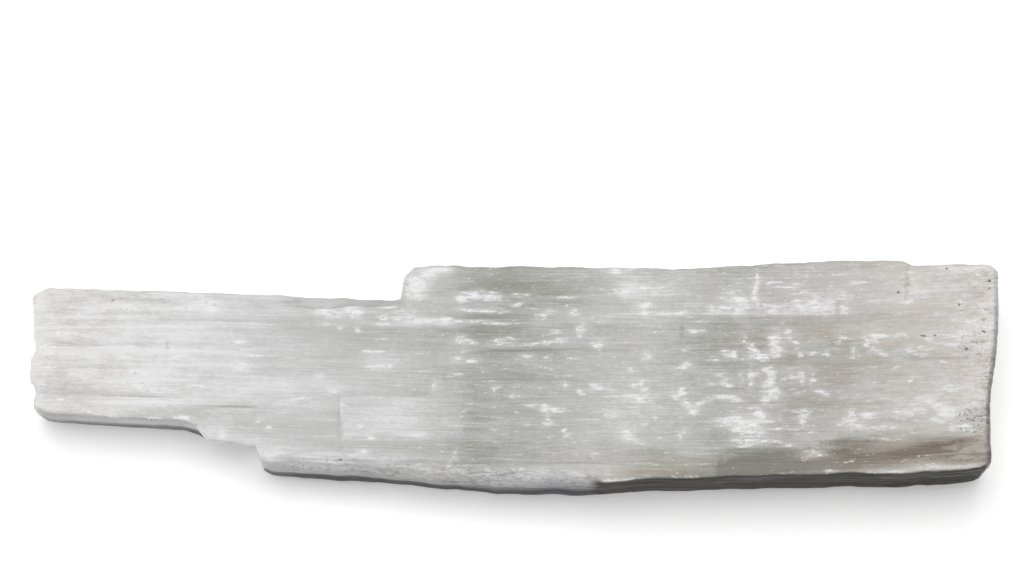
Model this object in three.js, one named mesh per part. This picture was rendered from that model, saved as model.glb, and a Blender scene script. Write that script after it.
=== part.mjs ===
// A selenite log: one raw length of satin spar gypsum, split from its seam along the fibres.
//
// Millimetres. +X runs along the fibres, +Y is the back and +Z is up. The log lies on its
// broadest cleavage face, and the origin is in that face, at the centre of the log's box.
//
// The log is a segmented block whose every vertex is moved: the columns across the fibres
// follow the two long edges, the lanes along the fibres are the bundles that split apart,
// and the levels shape the four narrow walls.

import * as THREE from 'three';
import { mergeVertices } from 'three/addons/utils/BufferGeometryUtils.js';

// ---------------------------------------------------------------- driving dimensions

const LENGTH = 400;
const THICKNESS_LEFT = 29;
const THICKNESS_RIGHT = 38;
const LONGEST_COLUMN = 8.5;
const SHORTEST_COLUMN = 0.9;

const HALF = LENGTH / 2;

// The long edges seen from above, as [x, y] of the widest line of each wall.
const BACK_EDGE = [
  [-200, 35.6], [-193.5, 38.5], [-170, 37.4], [-144.5, 36.5], [-97, 34.2], [-49.5, 32.3],
  [-47, 33.4], [-45.7, 42.6], [-41.5, 45.6], [18, 44.9], [72, 44.1], [105, 46.4], [122, 47.2],
  [142, 47.8], [160, 47.6], [164.5, 45.9], [176, 45.8], [181, 45.4], [196.5, 45.2], [200, 43.3],
];
const FRONT_EDGE = [
  [-200, -13.5], [-193.5, -16.2], [-137, -19.5], [-130, -21.5], [-126.5, -26.8],
  [-105.5, -31.2], [-104, -36.5], [-100, -38.4], [-75, -40.1], [-47, -42.6], [-7, -46.6],
  [32, -47.4], [47, -46], [75, -45.5], [105, -44.6], [140, -43.6], [157, -44.1], [190, -42.6],
  [200, -39.8],
];

// How far each end stands in from its nominal plane, as [y, inset]. The left end is
// scalloped into three bundles, and the right end runs askew.
const LEFT_END = [
  [-17, 2.3], [-12, 1.8], [-6.9, 2.6], [-2.5, 0.5], [2.5, 0], [7.5, 0.3], [11.4, 2.6],
  [16, 1.1], [28, 0.6], [37, 0.8],
];
const RIGHT_END = [
  [-46, 6.1], [-34, 5.1], [-13, 5.1], [-7, 4.4], [0, 3.1], [8.6, 1.7], [24, 0.4], [42, 0],
];
const LEFT_END_REACH = 14;
const RIGHT_END_REACH = 34;

// Lane edges: the middle ones keep their place for the whole length, and the outer ones
// share what is left up to the two long edges.
const FRONT_SHARES = [0, 0.13, 0.28, 0.47, 0.68, 0.86];
const MIDDLE_LANES = [-13.7, -13.1, -8.9, -6.9, -2.5, 2.5, 7.5, 11.4, 16, 20, 20.6, 27.6, 28.2];
const BACK_SHARES = [0.33, 0.67, 1];
const FRONT_LANE = MIDDLE_LANES[0];
const BACK_LANE = MIDDLE_LANES[MIDDLE_LANES.length - 1];
const LEAST_LANE = 0.3;

// Levels of the narrow walls, from the underside (0) to the upper face (1), and how far the
// wall stands in at each: a broken lower edge, a nearly upright wall and a chipped upper edge.
const LEVELS = [0, 0.14, 0.36, 0.62, 0.86, 1];
const FRONT_WALL_INSET = [5.5, 1.1, 0, 0.4, 0.1, 1.2];
const BACK_WALL_INSET = [6.5, 2.8, 1.2, 0.5, 0, 0.6];
const END_WALL_INSET = [3.2, 1, 0.1, 0.7, 0.2, 0.6];
const UPPER_EDGE_DROP = 1.1;
const WORN_EDGE = [-104, 50];
const WORN_TAPER = 22;
const WORN_EDGE_DROP = 1.7;

// Layers of fibre that are split off the upper face or stand proud of it. Each covers the
// ground between two x and two y; the taper is the length over which its ends fade.
const UPPER_LAYERS = [
  { name: 'left flank, one layer down', x: [-136, -97], y: [-60, -13.4], rise: -1.5, taper: 5 },
  { name: 'split under the back edge', x: [-82, -45], y: [27.9, 60], rise: -2.6, taper: 3 },
  { name: 'thin layer right of the break', x: [-72, 66], y: [-38, -7.9], rise: 0.7, taper: 2 },
  { name: 'bruised plateau', x: [-72, -34], y: [-28, -7.9], rise: 0.7, taper: 2 },
  { name: 'long trough', x: [-44, 132], y: [5, 20.3], rise: -0.9, taper: 16 },
  { name: 'bruised pit', x: [94, 111], y: [0, 10], rise: -1.2, taper: 5 },
  { name: 'clear band by the front edge', x: [80, 142], y: [-39.5, -29], rise: -1.2, taper: 9 },
  { name: 'brown hollow', x: [128, 197], y: [-37.5, -26], rise: -3, taper: 15 },
  { name: 'back corner, one layer down', x: [160, 201], y: [27.9, 60], rise: -1.3, taper: 2 },
  { name: 'back edge at the left end', x: [-201, -152], y: [20.3, 60], rise: -0.9, taper: 6 },
  { name: 'swelling of the right end', x: [140, 201], y: [-24, 24], rise: 1, taper: 22 },
];

// Both sides of the breaks that cross the fibres squarely get a column of their own.
const ABRUPT_BREAKS = [-72, -70, 160, 162];

// The same for the underside, where a rise makes a hollow above the resting face.
const UNDER_LAYERS = [
  { name: 'split along the front', x: [-60, 88], y: [-60, -27], rise: 2.4, taper: 6 },
  { name: 'split along the back', x: [20, 201], y: [27.9, 60], rise: 3.2, taper: 5 },
  { name: 'split at the left end', x: [-201, -158], y: [11, 60], rise: 2.2, taper: 5 },
];

// Layers split off the long walls, between two x and two levels, as a depth into the wall.
const FRONT_WALL_LAYERS = [
  { name: 'undercut break', x: [-131, -104], level: [0, 0.8], depth: 6, taper: 5 },
  { name: 'split under the left flank', x: [-186, -140], level: [0, 0.1], depth: 3, taper: 6 },
  { name: 'worn upper edge', x: WORN_EDGE, level: [0.95, 1], depth: 2, taper: WORN_TAPER },
  { name: 'split under the right half', x: [52, 176], level: [0, 0.1], depth: 4, taper: 8 },
];
const BACK_WALL_LAYERS = [
  { name: 'middle ledge', x: [-30, 64], level: [0, 0.7], depth: 3, taper: 7 },
  { name: 'lower ledge', x: [58, 150], level: [0, 0.4], depth: 3.4, taper: 8 },
  { name: 'ledge of the left half', x: [-176, -70], level: [0, 0.4], depth: 2.6, taper: 8 },
];

// Slow waves and the small differences between neighbouring bundles of fibre.
const SWELL_HEIGHT = 0.8;
const SWELL_LENGTH = 190;
const SWELL_SLANT = 2.4;
const BUNDLE_TURN = 2.4;
const BUNDLE_HEIGHT = 0.35;
const BUNDLE_LENGTH = 150;
const BUNDLE_SHIFT = 43;
const WALL_SPLIT_DEPTH = 0.5;
const BREAK_DEPTH = 0.7;

// ---------------------------------------------------------------- small helpers

const mix = (from, to, share) => from + (to - from) * share;

const ease = (value) => {
  const t = Math.min(1, Math.max(0, value));
  return t * t * (3 - 2 * t);
};

const wave = (at, length) => Math.sin((2 * Math.PI * at) / length);

// One between the two ends of a range, fading to nothing over the taper inside each end.
const within = (value, [low, high], taper) =>
  ease((value - low) / taper) * ease((high - value) / taper);

// A line through points of [at, value], straight between them and level past its ends.
function follow(points, at) {
  if (at <= points[0][0]) return points[0][1];
  for (let i = 1; i < points.length; i += 1) {
    const [left, low] = points[i - 1];
    const [right, high] = points[i];
    if (at <= right) return mix(low, high, (at - left) / (right - left));
  }
  return points[points.length - 1][1];
}

// ---------------------------------------------------------------- where the grid lies

// A column stands at every corner of the two long edges and at every abrupt break, and the
// gaps between them are filled evenly.
function layColumns() {
  const corners = [...BACK_EDGE, ...FRONT_EDGE].map(([x]) => x);
  corners.push(...ABRUPT_BREAKS);
  corners.sort((a, b) => a - b);
  const columns = [corners[0]];
  for (const corner of corners) {
    const start = columns[columns.length - 1];
    const gap = corner - start;
    if (gap < SHORTEST_COLUMN) continue;
    const cells = Math.ceil(gap / LONGEST_COLUMN);
    for (let cell = 1; cell <= cells; cell += 1) {
      columns.push(start + (gap * cell) / cells);
    }
  }
  return columns;
}

const COLUMNS = layColumns();
const LANE_COUNT = FRONT_SHARES.length + MIDDLE_LANES.length + BACK_SHARES.length;

// Where a lane would lie if nothing crowded it.
function freeLane(lane, front, back) {
  if (lane < FRONT_SHARES.length) return mix(front, FRONT_LANE, FRONT_SHARES[lane]);
  const middle = lane - FRONT_SHARES.length;
  if (middle < MIDDLE_LANES.length) return MIDDLE_LANES[middle];
  return mix(BACK_LANE, back, BACK_SHARES[middle - MIDDLE_LANES.length]);
}

// Where the log is narrow the lanes are pushed in by its walls, and never cross.
function laneAt(lane, front, back) {
  const fromFront = Math.max(freeLane(lane, front, back), front + lane * LEAST_LANE);
  return Math.min(fromFront, back - (LANE_COUNT - 1 - lane) * LEAST_LANE);
}

// ---------------------------------------------------------------- the form

// The slow waves that a split face of fibres always has.
const swell = (x, y) => SWELL_HEIGHT
  * (wave(x, SWELL_LENGTH) + wave(x + SWELL_SLANT * y, 2 * SWELL_LENGTH)) / 2;

const layered = (layers, x, y) =>
  layers.reduce((sum, layer) => {
    const inside = y > layer.y[0] && y < layer.y[1];
    return inside ? sum + layer.rise * within(x, layer.x, layer.taper) : sum;
  }, 0);

const upperFace = (x, y) =>
  mix(THICKNESS_LEFT, THICKNESS_RIGHT, (x + HALF) / LENGTH) + swell(x, y)
  + layered(UPPER_LAYERS, x, y);

const underFace = (x, y) => layered(UNDER_LAYERS, x, y);

const wallDepth = (layers, x, level) =>
  layers.reduce((sum, layer) => {
    const inside = level >= layer.level[0] && level <= layer.level[1];
    return inside ? sum + layer.depth * within(x, layer.x, layer.taper) : sum;
  }, 0);

// Each bundle has a fixed number between -1 and 1 that sets it apart from its neighbours.
const bundleShare = (bundle) => Math.sin(BUNDLE_TURN * bundle);

// Neighbouring bundles of the upper face stand a little proud of each other.
const bundleRise = (lane, x) =>
  BUNDLE_HEIGHT * bundleShare(lane) * (1 + wave(x + lane * BUNDLE_SHIFT, BUNDLE_LENGTH) / 2);

// So do the bundles of a wall, which run along it at each level.
const wallSplit = (level, x) =>
  WALL_SPLIT_DEPTH * Math.max(0, wave(x + level * BUNDLE_SHIFT, BUNDLE_LENGTH));

// Fibre ends break at slightly different lengths, so each bundle of an end has its own.
const bundleBreak = (lane, level) =>
  BREAK_DEPTH * bundleShare(lane) * bundleShare(level + lane + 1);

// The upper face rounds down to its long edges, most of all where the front one is worn.
function edgeDrop(x, lane) {
  if (lane === 0) return UPPER_EDGE_DROP + WORN_EDGE_DROP * within(x, WORN_EDGE, WORN_TAPER);
  return lane === LANE_COUNT - 1 ? UPPER_EDGE_DROP : 0;
}

// Both ends lean in from their nominal planes, and the columns near them follow.
function endInset(x, y, lane, level) {
  const face = END_WALL_INSET[level] + bundleBreak(lane, level);
  if (x < 0) {
    const reach = ease((LEFT_END_REACH - HALF - x) / LEFT_END_REACH);
    return follow(LEFT_END, y) * reach + (x === -HALF ? face : 0);
  }
  const reach = ease((x + RIGHT_END_REACH - HALF) / RIGHT_END_REACH);
  return -follow(RIGHT_END, y) * reach - (x === HALF ? face : 0);
}

// Moves one vertex of the block, given by its column, lane and level.
function place(column, lane, level) {
  const x = COLUMNS[column];
  const share = LEVELS[level];
  const split = wallSplit(level, x);
  const front = follow(FRONT_EDGE, x) + FRONT_WALL_INSET[level] + split
    + wallDepth(FRONT_WALL_LAYERS, x, share);
  const back = follow(BACK_EDGE, x) - BACK_WALL_INSET[level] - split
    - wallDepth(BACK_WALL_LAYERS, x, share);
  const y = laneAt(lane, front, back);
  const bottom = underFace(x, y);
  const top = upperFace(x, y) + bundleRise(lane, x) - edgeDrop(x, lane);
  return [x + endInset(x, y, lane, level), y, mix(bottom, top, share)];
}

// ---------------------------------------------------------------- the mesh

function logGeometry() {
  const columns = COLUMNS.length - 1;
  const lanes = LANE_COUNT - 1;
  const levels = LEVELS.length - 1;
  const block = new THREE.BoxGeometry(columns, lanes, levels, columns, lanes, levels);
  const position = block.getAttribute('position');
  for (let i = 0; i < position.count; i += 1) {
    const column = Math.round(position.getX(i) + columns / 2);
    const lane = Math.round(position.getY(i) + lanes / 2);
    const level = Math.round(position.getZ(i) + levels / 2);
    position.setXYZ(i, ...place(column, lane, level));
  }
  block.deleteAttribute('normal');
  block.deleteAttribute('uv');
  return mergeVertices(block, 1e-4);
}

// Satin spar: milky, grey where it is clear, with a silky gloss along the fibres.
const satinSpar = new THREE.MeshStandardMaterial({
  color: 0xc4c6c0,
  roughness: 0.45,
  metalness: 0,
  flatShading: true,
});

const log = new THREE.Mesh(logGeometry(), satinSpar);
log.name = 'selenite_log';

const model = new THREE.Group();
model.add(log);

export default model;
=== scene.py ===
"""A selenite log: one raw length of satin spar gypsum, split from its seam along the fibres.

The log is one closed mesh. Its skin is a surface of two parameters: the place along the
fibres, and the way around the section. Lengths inside the classes are millimetres, with +X
along the fibres, +Y to the back and +Z up, as in the CAD part; meshes are written in metres.
"""
import logging
import math
from dataclasses import dataclass
from enum import Enum

import bpy
import numpy as np
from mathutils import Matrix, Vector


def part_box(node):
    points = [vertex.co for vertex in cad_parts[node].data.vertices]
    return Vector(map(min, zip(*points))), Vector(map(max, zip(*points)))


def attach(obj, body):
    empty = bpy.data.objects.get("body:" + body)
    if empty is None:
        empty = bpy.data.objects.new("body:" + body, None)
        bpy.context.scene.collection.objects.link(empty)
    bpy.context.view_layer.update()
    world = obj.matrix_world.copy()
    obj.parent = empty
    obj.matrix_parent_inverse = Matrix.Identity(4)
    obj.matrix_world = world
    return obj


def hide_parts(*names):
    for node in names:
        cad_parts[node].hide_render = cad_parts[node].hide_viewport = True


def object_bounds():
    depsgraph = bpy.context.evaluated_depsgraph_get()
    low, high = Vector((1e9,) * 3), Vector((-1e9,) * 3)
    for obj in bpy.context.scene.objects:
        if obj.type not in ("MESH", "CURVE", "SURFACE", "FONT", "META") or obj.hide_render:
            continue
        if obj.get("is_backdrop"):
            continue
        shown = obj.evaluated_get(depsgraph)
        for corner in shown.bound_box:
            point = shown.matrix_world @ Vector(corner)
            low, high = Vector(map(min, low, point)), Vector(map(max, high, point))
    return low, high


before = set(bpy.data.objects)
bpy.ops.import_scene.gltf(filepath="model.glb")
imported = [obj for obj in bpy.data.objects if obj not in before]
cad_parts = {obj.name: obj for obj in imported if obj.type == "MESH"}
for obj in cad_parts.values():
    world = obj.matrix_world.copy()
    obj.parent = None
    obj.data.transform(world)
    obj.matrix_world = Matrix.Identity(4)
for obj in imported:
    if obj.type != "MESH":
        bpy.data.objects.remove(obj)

LOG = logging.getLogger("selenite")
CAD_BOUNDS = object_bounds()
MM = 0.001


# ------------------------------------------------------------------ arithmetic on arrays


# Large odd numbers that spread the bits of a whole number over a 32-bit word.
WORD = 0xFFFFFFFF
PLACE_FACTORS = (0x8DA6B343, 0xD8163841, 0xCB1AB31F)
SEED_FACTOR = 0x9E3779B9
MIXING = ((15, 0x2C1B3C6D), (12, 0x297A2D39))
# Where a flat or straight noise is cut from the noise in space, and where the ends' noises are.
PLANE = 0.5
END_PLANE = 0.3


def ease(value: np.ndarray) -> np.ndarray:
    """A smooth step: 0 up to 0, 1 from 1, and 3t^2 - 2t^3 between.

    Args:
        value: Where to read the step.

    Returns:
        The step's height at each value.
    """
    t = np.clip(value, 0.0, 1.0)
    return t * t * (3.0 - 2.0 * t)


def climb(value: np.ndarray, start: np.ndarray | float, length: float) -> np.ndarray:
    """A smooth step from 0 at the start to 1 a length further on, backwards if that is negative."""
    return ease((value - start) / length)


def within(value: np.ndarray, low: float, high: float, taper: float) -> np.ndarray:
    """One between low and high, fading to nothing over the taper inside each end."""
    return climb(value, low, taper) * climb(value, high, -taper)


def follow(points: tuple, at: np.ndarray, blunt: float = 0.0) -> np.ndarray:
    """Reads a line through points, with its corners blunted.

    The value is the mean of the straight-sided line at -blunt, 0 and +blunt, weighted 1:2:1.

    Args:
        points: The line's corners as (place, value) pairs.
        at: Where to read it.
        blunt: How far each corner is spread, in the unit of the places.

    Returns:
        The line's value at each place.
    """
    places = [place for place, _ in points]
    values = [value for _, value in points]
    left, middle, right = (np.interp(at + shift, places, values) for shift in (-blunt, 0, blunt))
    return (left + 2.0 * middle + right) / 4.0


def lattice(i: np.ndarray, j: np.ndarray, k: np.ndarray, seed: int) -> np.ndarray:
    """A fixed scatter of numbers on whole-number points, by mixing their bits.

    Args:
        i, j, k: The points.
        seed: Which scatter.

    Returns:
        Numbers from -1 to 1.
    """
    h = np.uint32((seed * SEED_FACTOR) & WORD)
    for place, factor in zip((i, j, k), PLACE_FACTORS):
        h = h ^ (place.astype(np.uint32) * np.uint32(factor))
    for shift, factor in MIXING:
        h = (h ^ (h >> np.uint32(shift))) * np.uint32(factor)
    h = h ^ (h >> np.uint32(15))
    return h.astype(np.float64) / (WORD // 2) - 1.0


def noise(x: np.ndarray, y: np.ndarray, z: np.ndarray, seed: int) -> np.ndarray:
    """Smooth noise with features one unit across.

    The eight lattice numbers around a point are blended by 6t^5 - 15t^4 + 10t^3 on each axis.

    Args:
        x, y, z: Where to read it.
        seed: Which noise.

    Returns:
        Numbers from -1 to 1.
    """
    x, y, z = np.broadcast_arrays(x, y, z)
    cell = [np.floor(a).astype(np.int64) for a in (x, y, z)]
    part = [a - c for a, c in zip((x, y, z), cell)]
    u, v, w = (t * t * t * (t * (t * 6.0 - 15.0) + 10.0) for t in part)
    total = np.zeros(x.shape)
    for corner in range(8):
        di, dj, dk = corner & 1, (corner >> 1) & 1, (corner >> 2) & 1
        weight = (u if di else 1 - u) * (v if dj else 1 - v) * (w if dk else 1 - w)
        total += weight * lattice(cell[0] + di, cell[1] + dj, cell[2] + dk, seed)
    return total


def layered_noise(x: np.ndarray, y: np.ndarray, z: np.ndarray, seed: int, octaves: int) -> np.ndarray:
    """Noise with finer noise on it: each octave is half the size and half the height.

    Args:
        x, y, z: Where to read it.
        seed: Which noise.
        octaves: How many noises it has.

    Returns:
        Their sum.
    """
    total = np.zeros(np.broadcast(x, y, z).shape)
    for octave in range(octaves):
        size = 2.0**octave
        total += noise(x * size, y * size, z * size, seed + octave) / size
    return total


def terraces(value: np.ndarray, treads: int, riser: float) -> np.ndarray:
    """Turns a smooth field into flat treads with steep risers, each tread one unit up.

    Args:
        value: A field from -1 to 1.
        treads: How many treads the field is cut into.
        riser: The share of a tread that its riser takes up.

    Returns:
        The field's whole tread plus the eased riser that leads to the next.
    """
    scaled = (value + 1.0) * treads / 2.0
    whole = np.floor(scaled)
    return whole + ease((scaled - whole - 1.0 + riser) / riser)


# ------------------------------------------------------------------ the log's measures


class Face(Enum):
    """The four long faces, in the order in which the section's ring meets them."""

    UPPER = 0
    BACK = 1
    UNDER = 2
    FRONT = 3


@dataclass(frozen=True)
class Layer:
    """Fibre split off a face, or standing proud of it, over a ragged rectangle.

    x and across bound it, across being y on the broad faces and height share on the walls.
    Its ends fade over the taper and its long sides over the fade, both in millimetres.
    """

    x: tuple[float, float]
    across: tuple[float, float]
    rise: float
    taper: float
    fade: float = 1.0


@dataclass(frozen=True)
class Mark:
    """A long spot on the upper face: its middle, its reach each way, strength and turn."""

    x: float
    y: float
    reach_x: float
    reach_y: float
    strength: float = 1.0
    turn: float = 0.0

    def square(self, x: np.ndarray, y: np.ndarray) -> np.ndarray:
        """The squared distance from the middle in reaches, the spot being turned in degrees.

        Args:
            x: Places along the log.
            y: Places across it.

        Returns:
            r^2, which is 1 on the spot's edge.
        """
        cosine, sine = math.cos(math.radians(self.turn)), math.sin(math.radians(self.turn))
        along = (x - self.x) * cosine + (y - self.y) * sine
        across = (y - self.y) * cosine - (x - self.x) * sine
        return (along / self.reach_x) ** 2 + (across / self.reach_y) ** 2


def marks(*rows: tuple[float, ...]) -> tuple[Mark, ...]:
    """Turns rows of x, y, reach along, reach across, strength and turn to marks."""
    return tuple(Mark(*row) for row in rows)


@dataclass(frozen=True)
class Outline:
    """The log's plan and thickness, in millimetres."""

    half_length: float = 200.0
    # along the log, as (x, height) or (x, y)
    thickness: tuple = ((-200.0, 29.0), (200.0, 38.0))
    back_edge: tuple = (
        (-200, 35.6), (-193.5, 38.5), (-170, 37.4), (-144.5, 36.5), (-97, 34.2), (-49.5, 32.3),
        (-46.7, 33.0), (-45.7, 41.8), (-41.5, 45.5), (18, 44.9), (72, 44.1), (105, 46.4), (122, 47.2),
        (142, 47.8), (160, 47.6), (164.5, 45.9), (176, 45.8), (181, 45.4), (196.5, 45.2), (200, 43.3),
    )
    front_edge: tuple = (
        (-200, -13.5), (-193.5, -16.2), (-137, -19.5), (-130, -21.5), (-126.5, -26.8),
        (-105.5, -31.2), (-104, -36.5), (-100, -38.4), (-75, -40.1), (-47, -42.6), (-7, -46.6),
        (32, -47.4), (47, -46), (75, -45.5), (105, -44.6), (140, -43.6), (157, -44.1),
        (190, -42.4), (196, -41.7), (200, -40.4),
    )
    # the ends, as (y, how far in), and how far along the log they are felt
    left_end: tuple = (
        (-17, 2.3), (-12, 1.8), (-6.9, 2.6), (-2.5, 0.5), (2.5, 0), (7.5, 0.3),
        (11.4, 2.6), (16, 1.1), (28, 0.6), (37, 0.8),
    )
    right_end: tuple = (
        (-46, 6.1), (-34, 5.1), (-13, 5.1), (-7, 4.4), (0, 3.1), (8.6, 1.7), (24, 0.4), (42, 0),
    )
    left_reach: float = 14.0
    right_reach: float = 34.0
    right_blunt: float = 1.5
    # the walls' profiles, as (share of the height, how far in)
    front_wall: tuple = ((0, 5.5), (0.14, 1.1), (0.36, 0), (0.62, 0.4), (0.86, 0.1), (1, 1.2))
    back_wall: tuple = ((0, 6.5), (0.14, 2.8), (0.36, 1.2), (0.62, 0.5), (0.86, 0), (1, 0.6))
    # where the front edge is worn, and how far its top stands in or out, as (x, how far in)
    worn_edge: tuple[float, float] = (-104.0, 40.0)
    worn_taper: float = 14.0
    front_top: tuple = (
        (-200, -0.9), (-132, -0.8), (-107, -0.8), (-103, 0), (34, 0), (39, 0.3), (46, 0.4),
        (49.5, 0.75), (200, 0.75),
    )


UPPER_LAYERS = (
    Layer((-133, -97), (-60, -13.2), -0.5, 11, 1.2),
    Layer((-98, -45), (27.9, 60), -1.3, 12, 1.8),
    Layer((-72, 66), (-38, -8.2), 0.35, 2, 1.6),
    Layer((-71, -34), (-27, -8.6), 0.3, 2, 1.6),
    Layer((-44, 132), (5, 20.3), -0.35, 14, 2.5),
    Layer((95, 106), (8, 19), -0.45, 3, 2.4),
    Layer((82, 142), (-42, -31), -0.4, 3, 3.0),
    Layer((126, 197), (-39.5, -25), -1.7, 19, 6.5),
    Layer((162, 260), (27.9, 60), -0.6, 2, 3.0),
    Layer((-260, -152), (24, 60), -0.4, 8, 2.0),
    Layer((140, 260), (-24, 24), 0.9, 22, 9.0),
    Layer((133, 260), (20, 34), -0.3, 1.5, 2.0),
)
UNDER_LAYERS = (
    Layer((-60, 88), (-60, -27), 2.4, 6),
    Layer((20, 260), (27.9, 60), 3.2, 5),
    Layer((-260, -158), (11, 60), 2.2, 5),
)
FRONT_LAYERS = (
    Layer((-128.8, -104), (-1, 0.93), 5.2, 1.4),
    Layer((-186, -140), (-1, 0.1), 3.0, 6),
    Layer((52, 176), (-1, 0.1), 4.0, 8),
)
BACK_LAYERS = (
    Layer((-30, 64), (-1, 0.7), 3.0, 7),
    Layer((58, 150), (-1, 0.4), 3.4, 8),
    Layer((-176, -70), (-1, 0.4), 2.6, 8),
)

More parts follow.
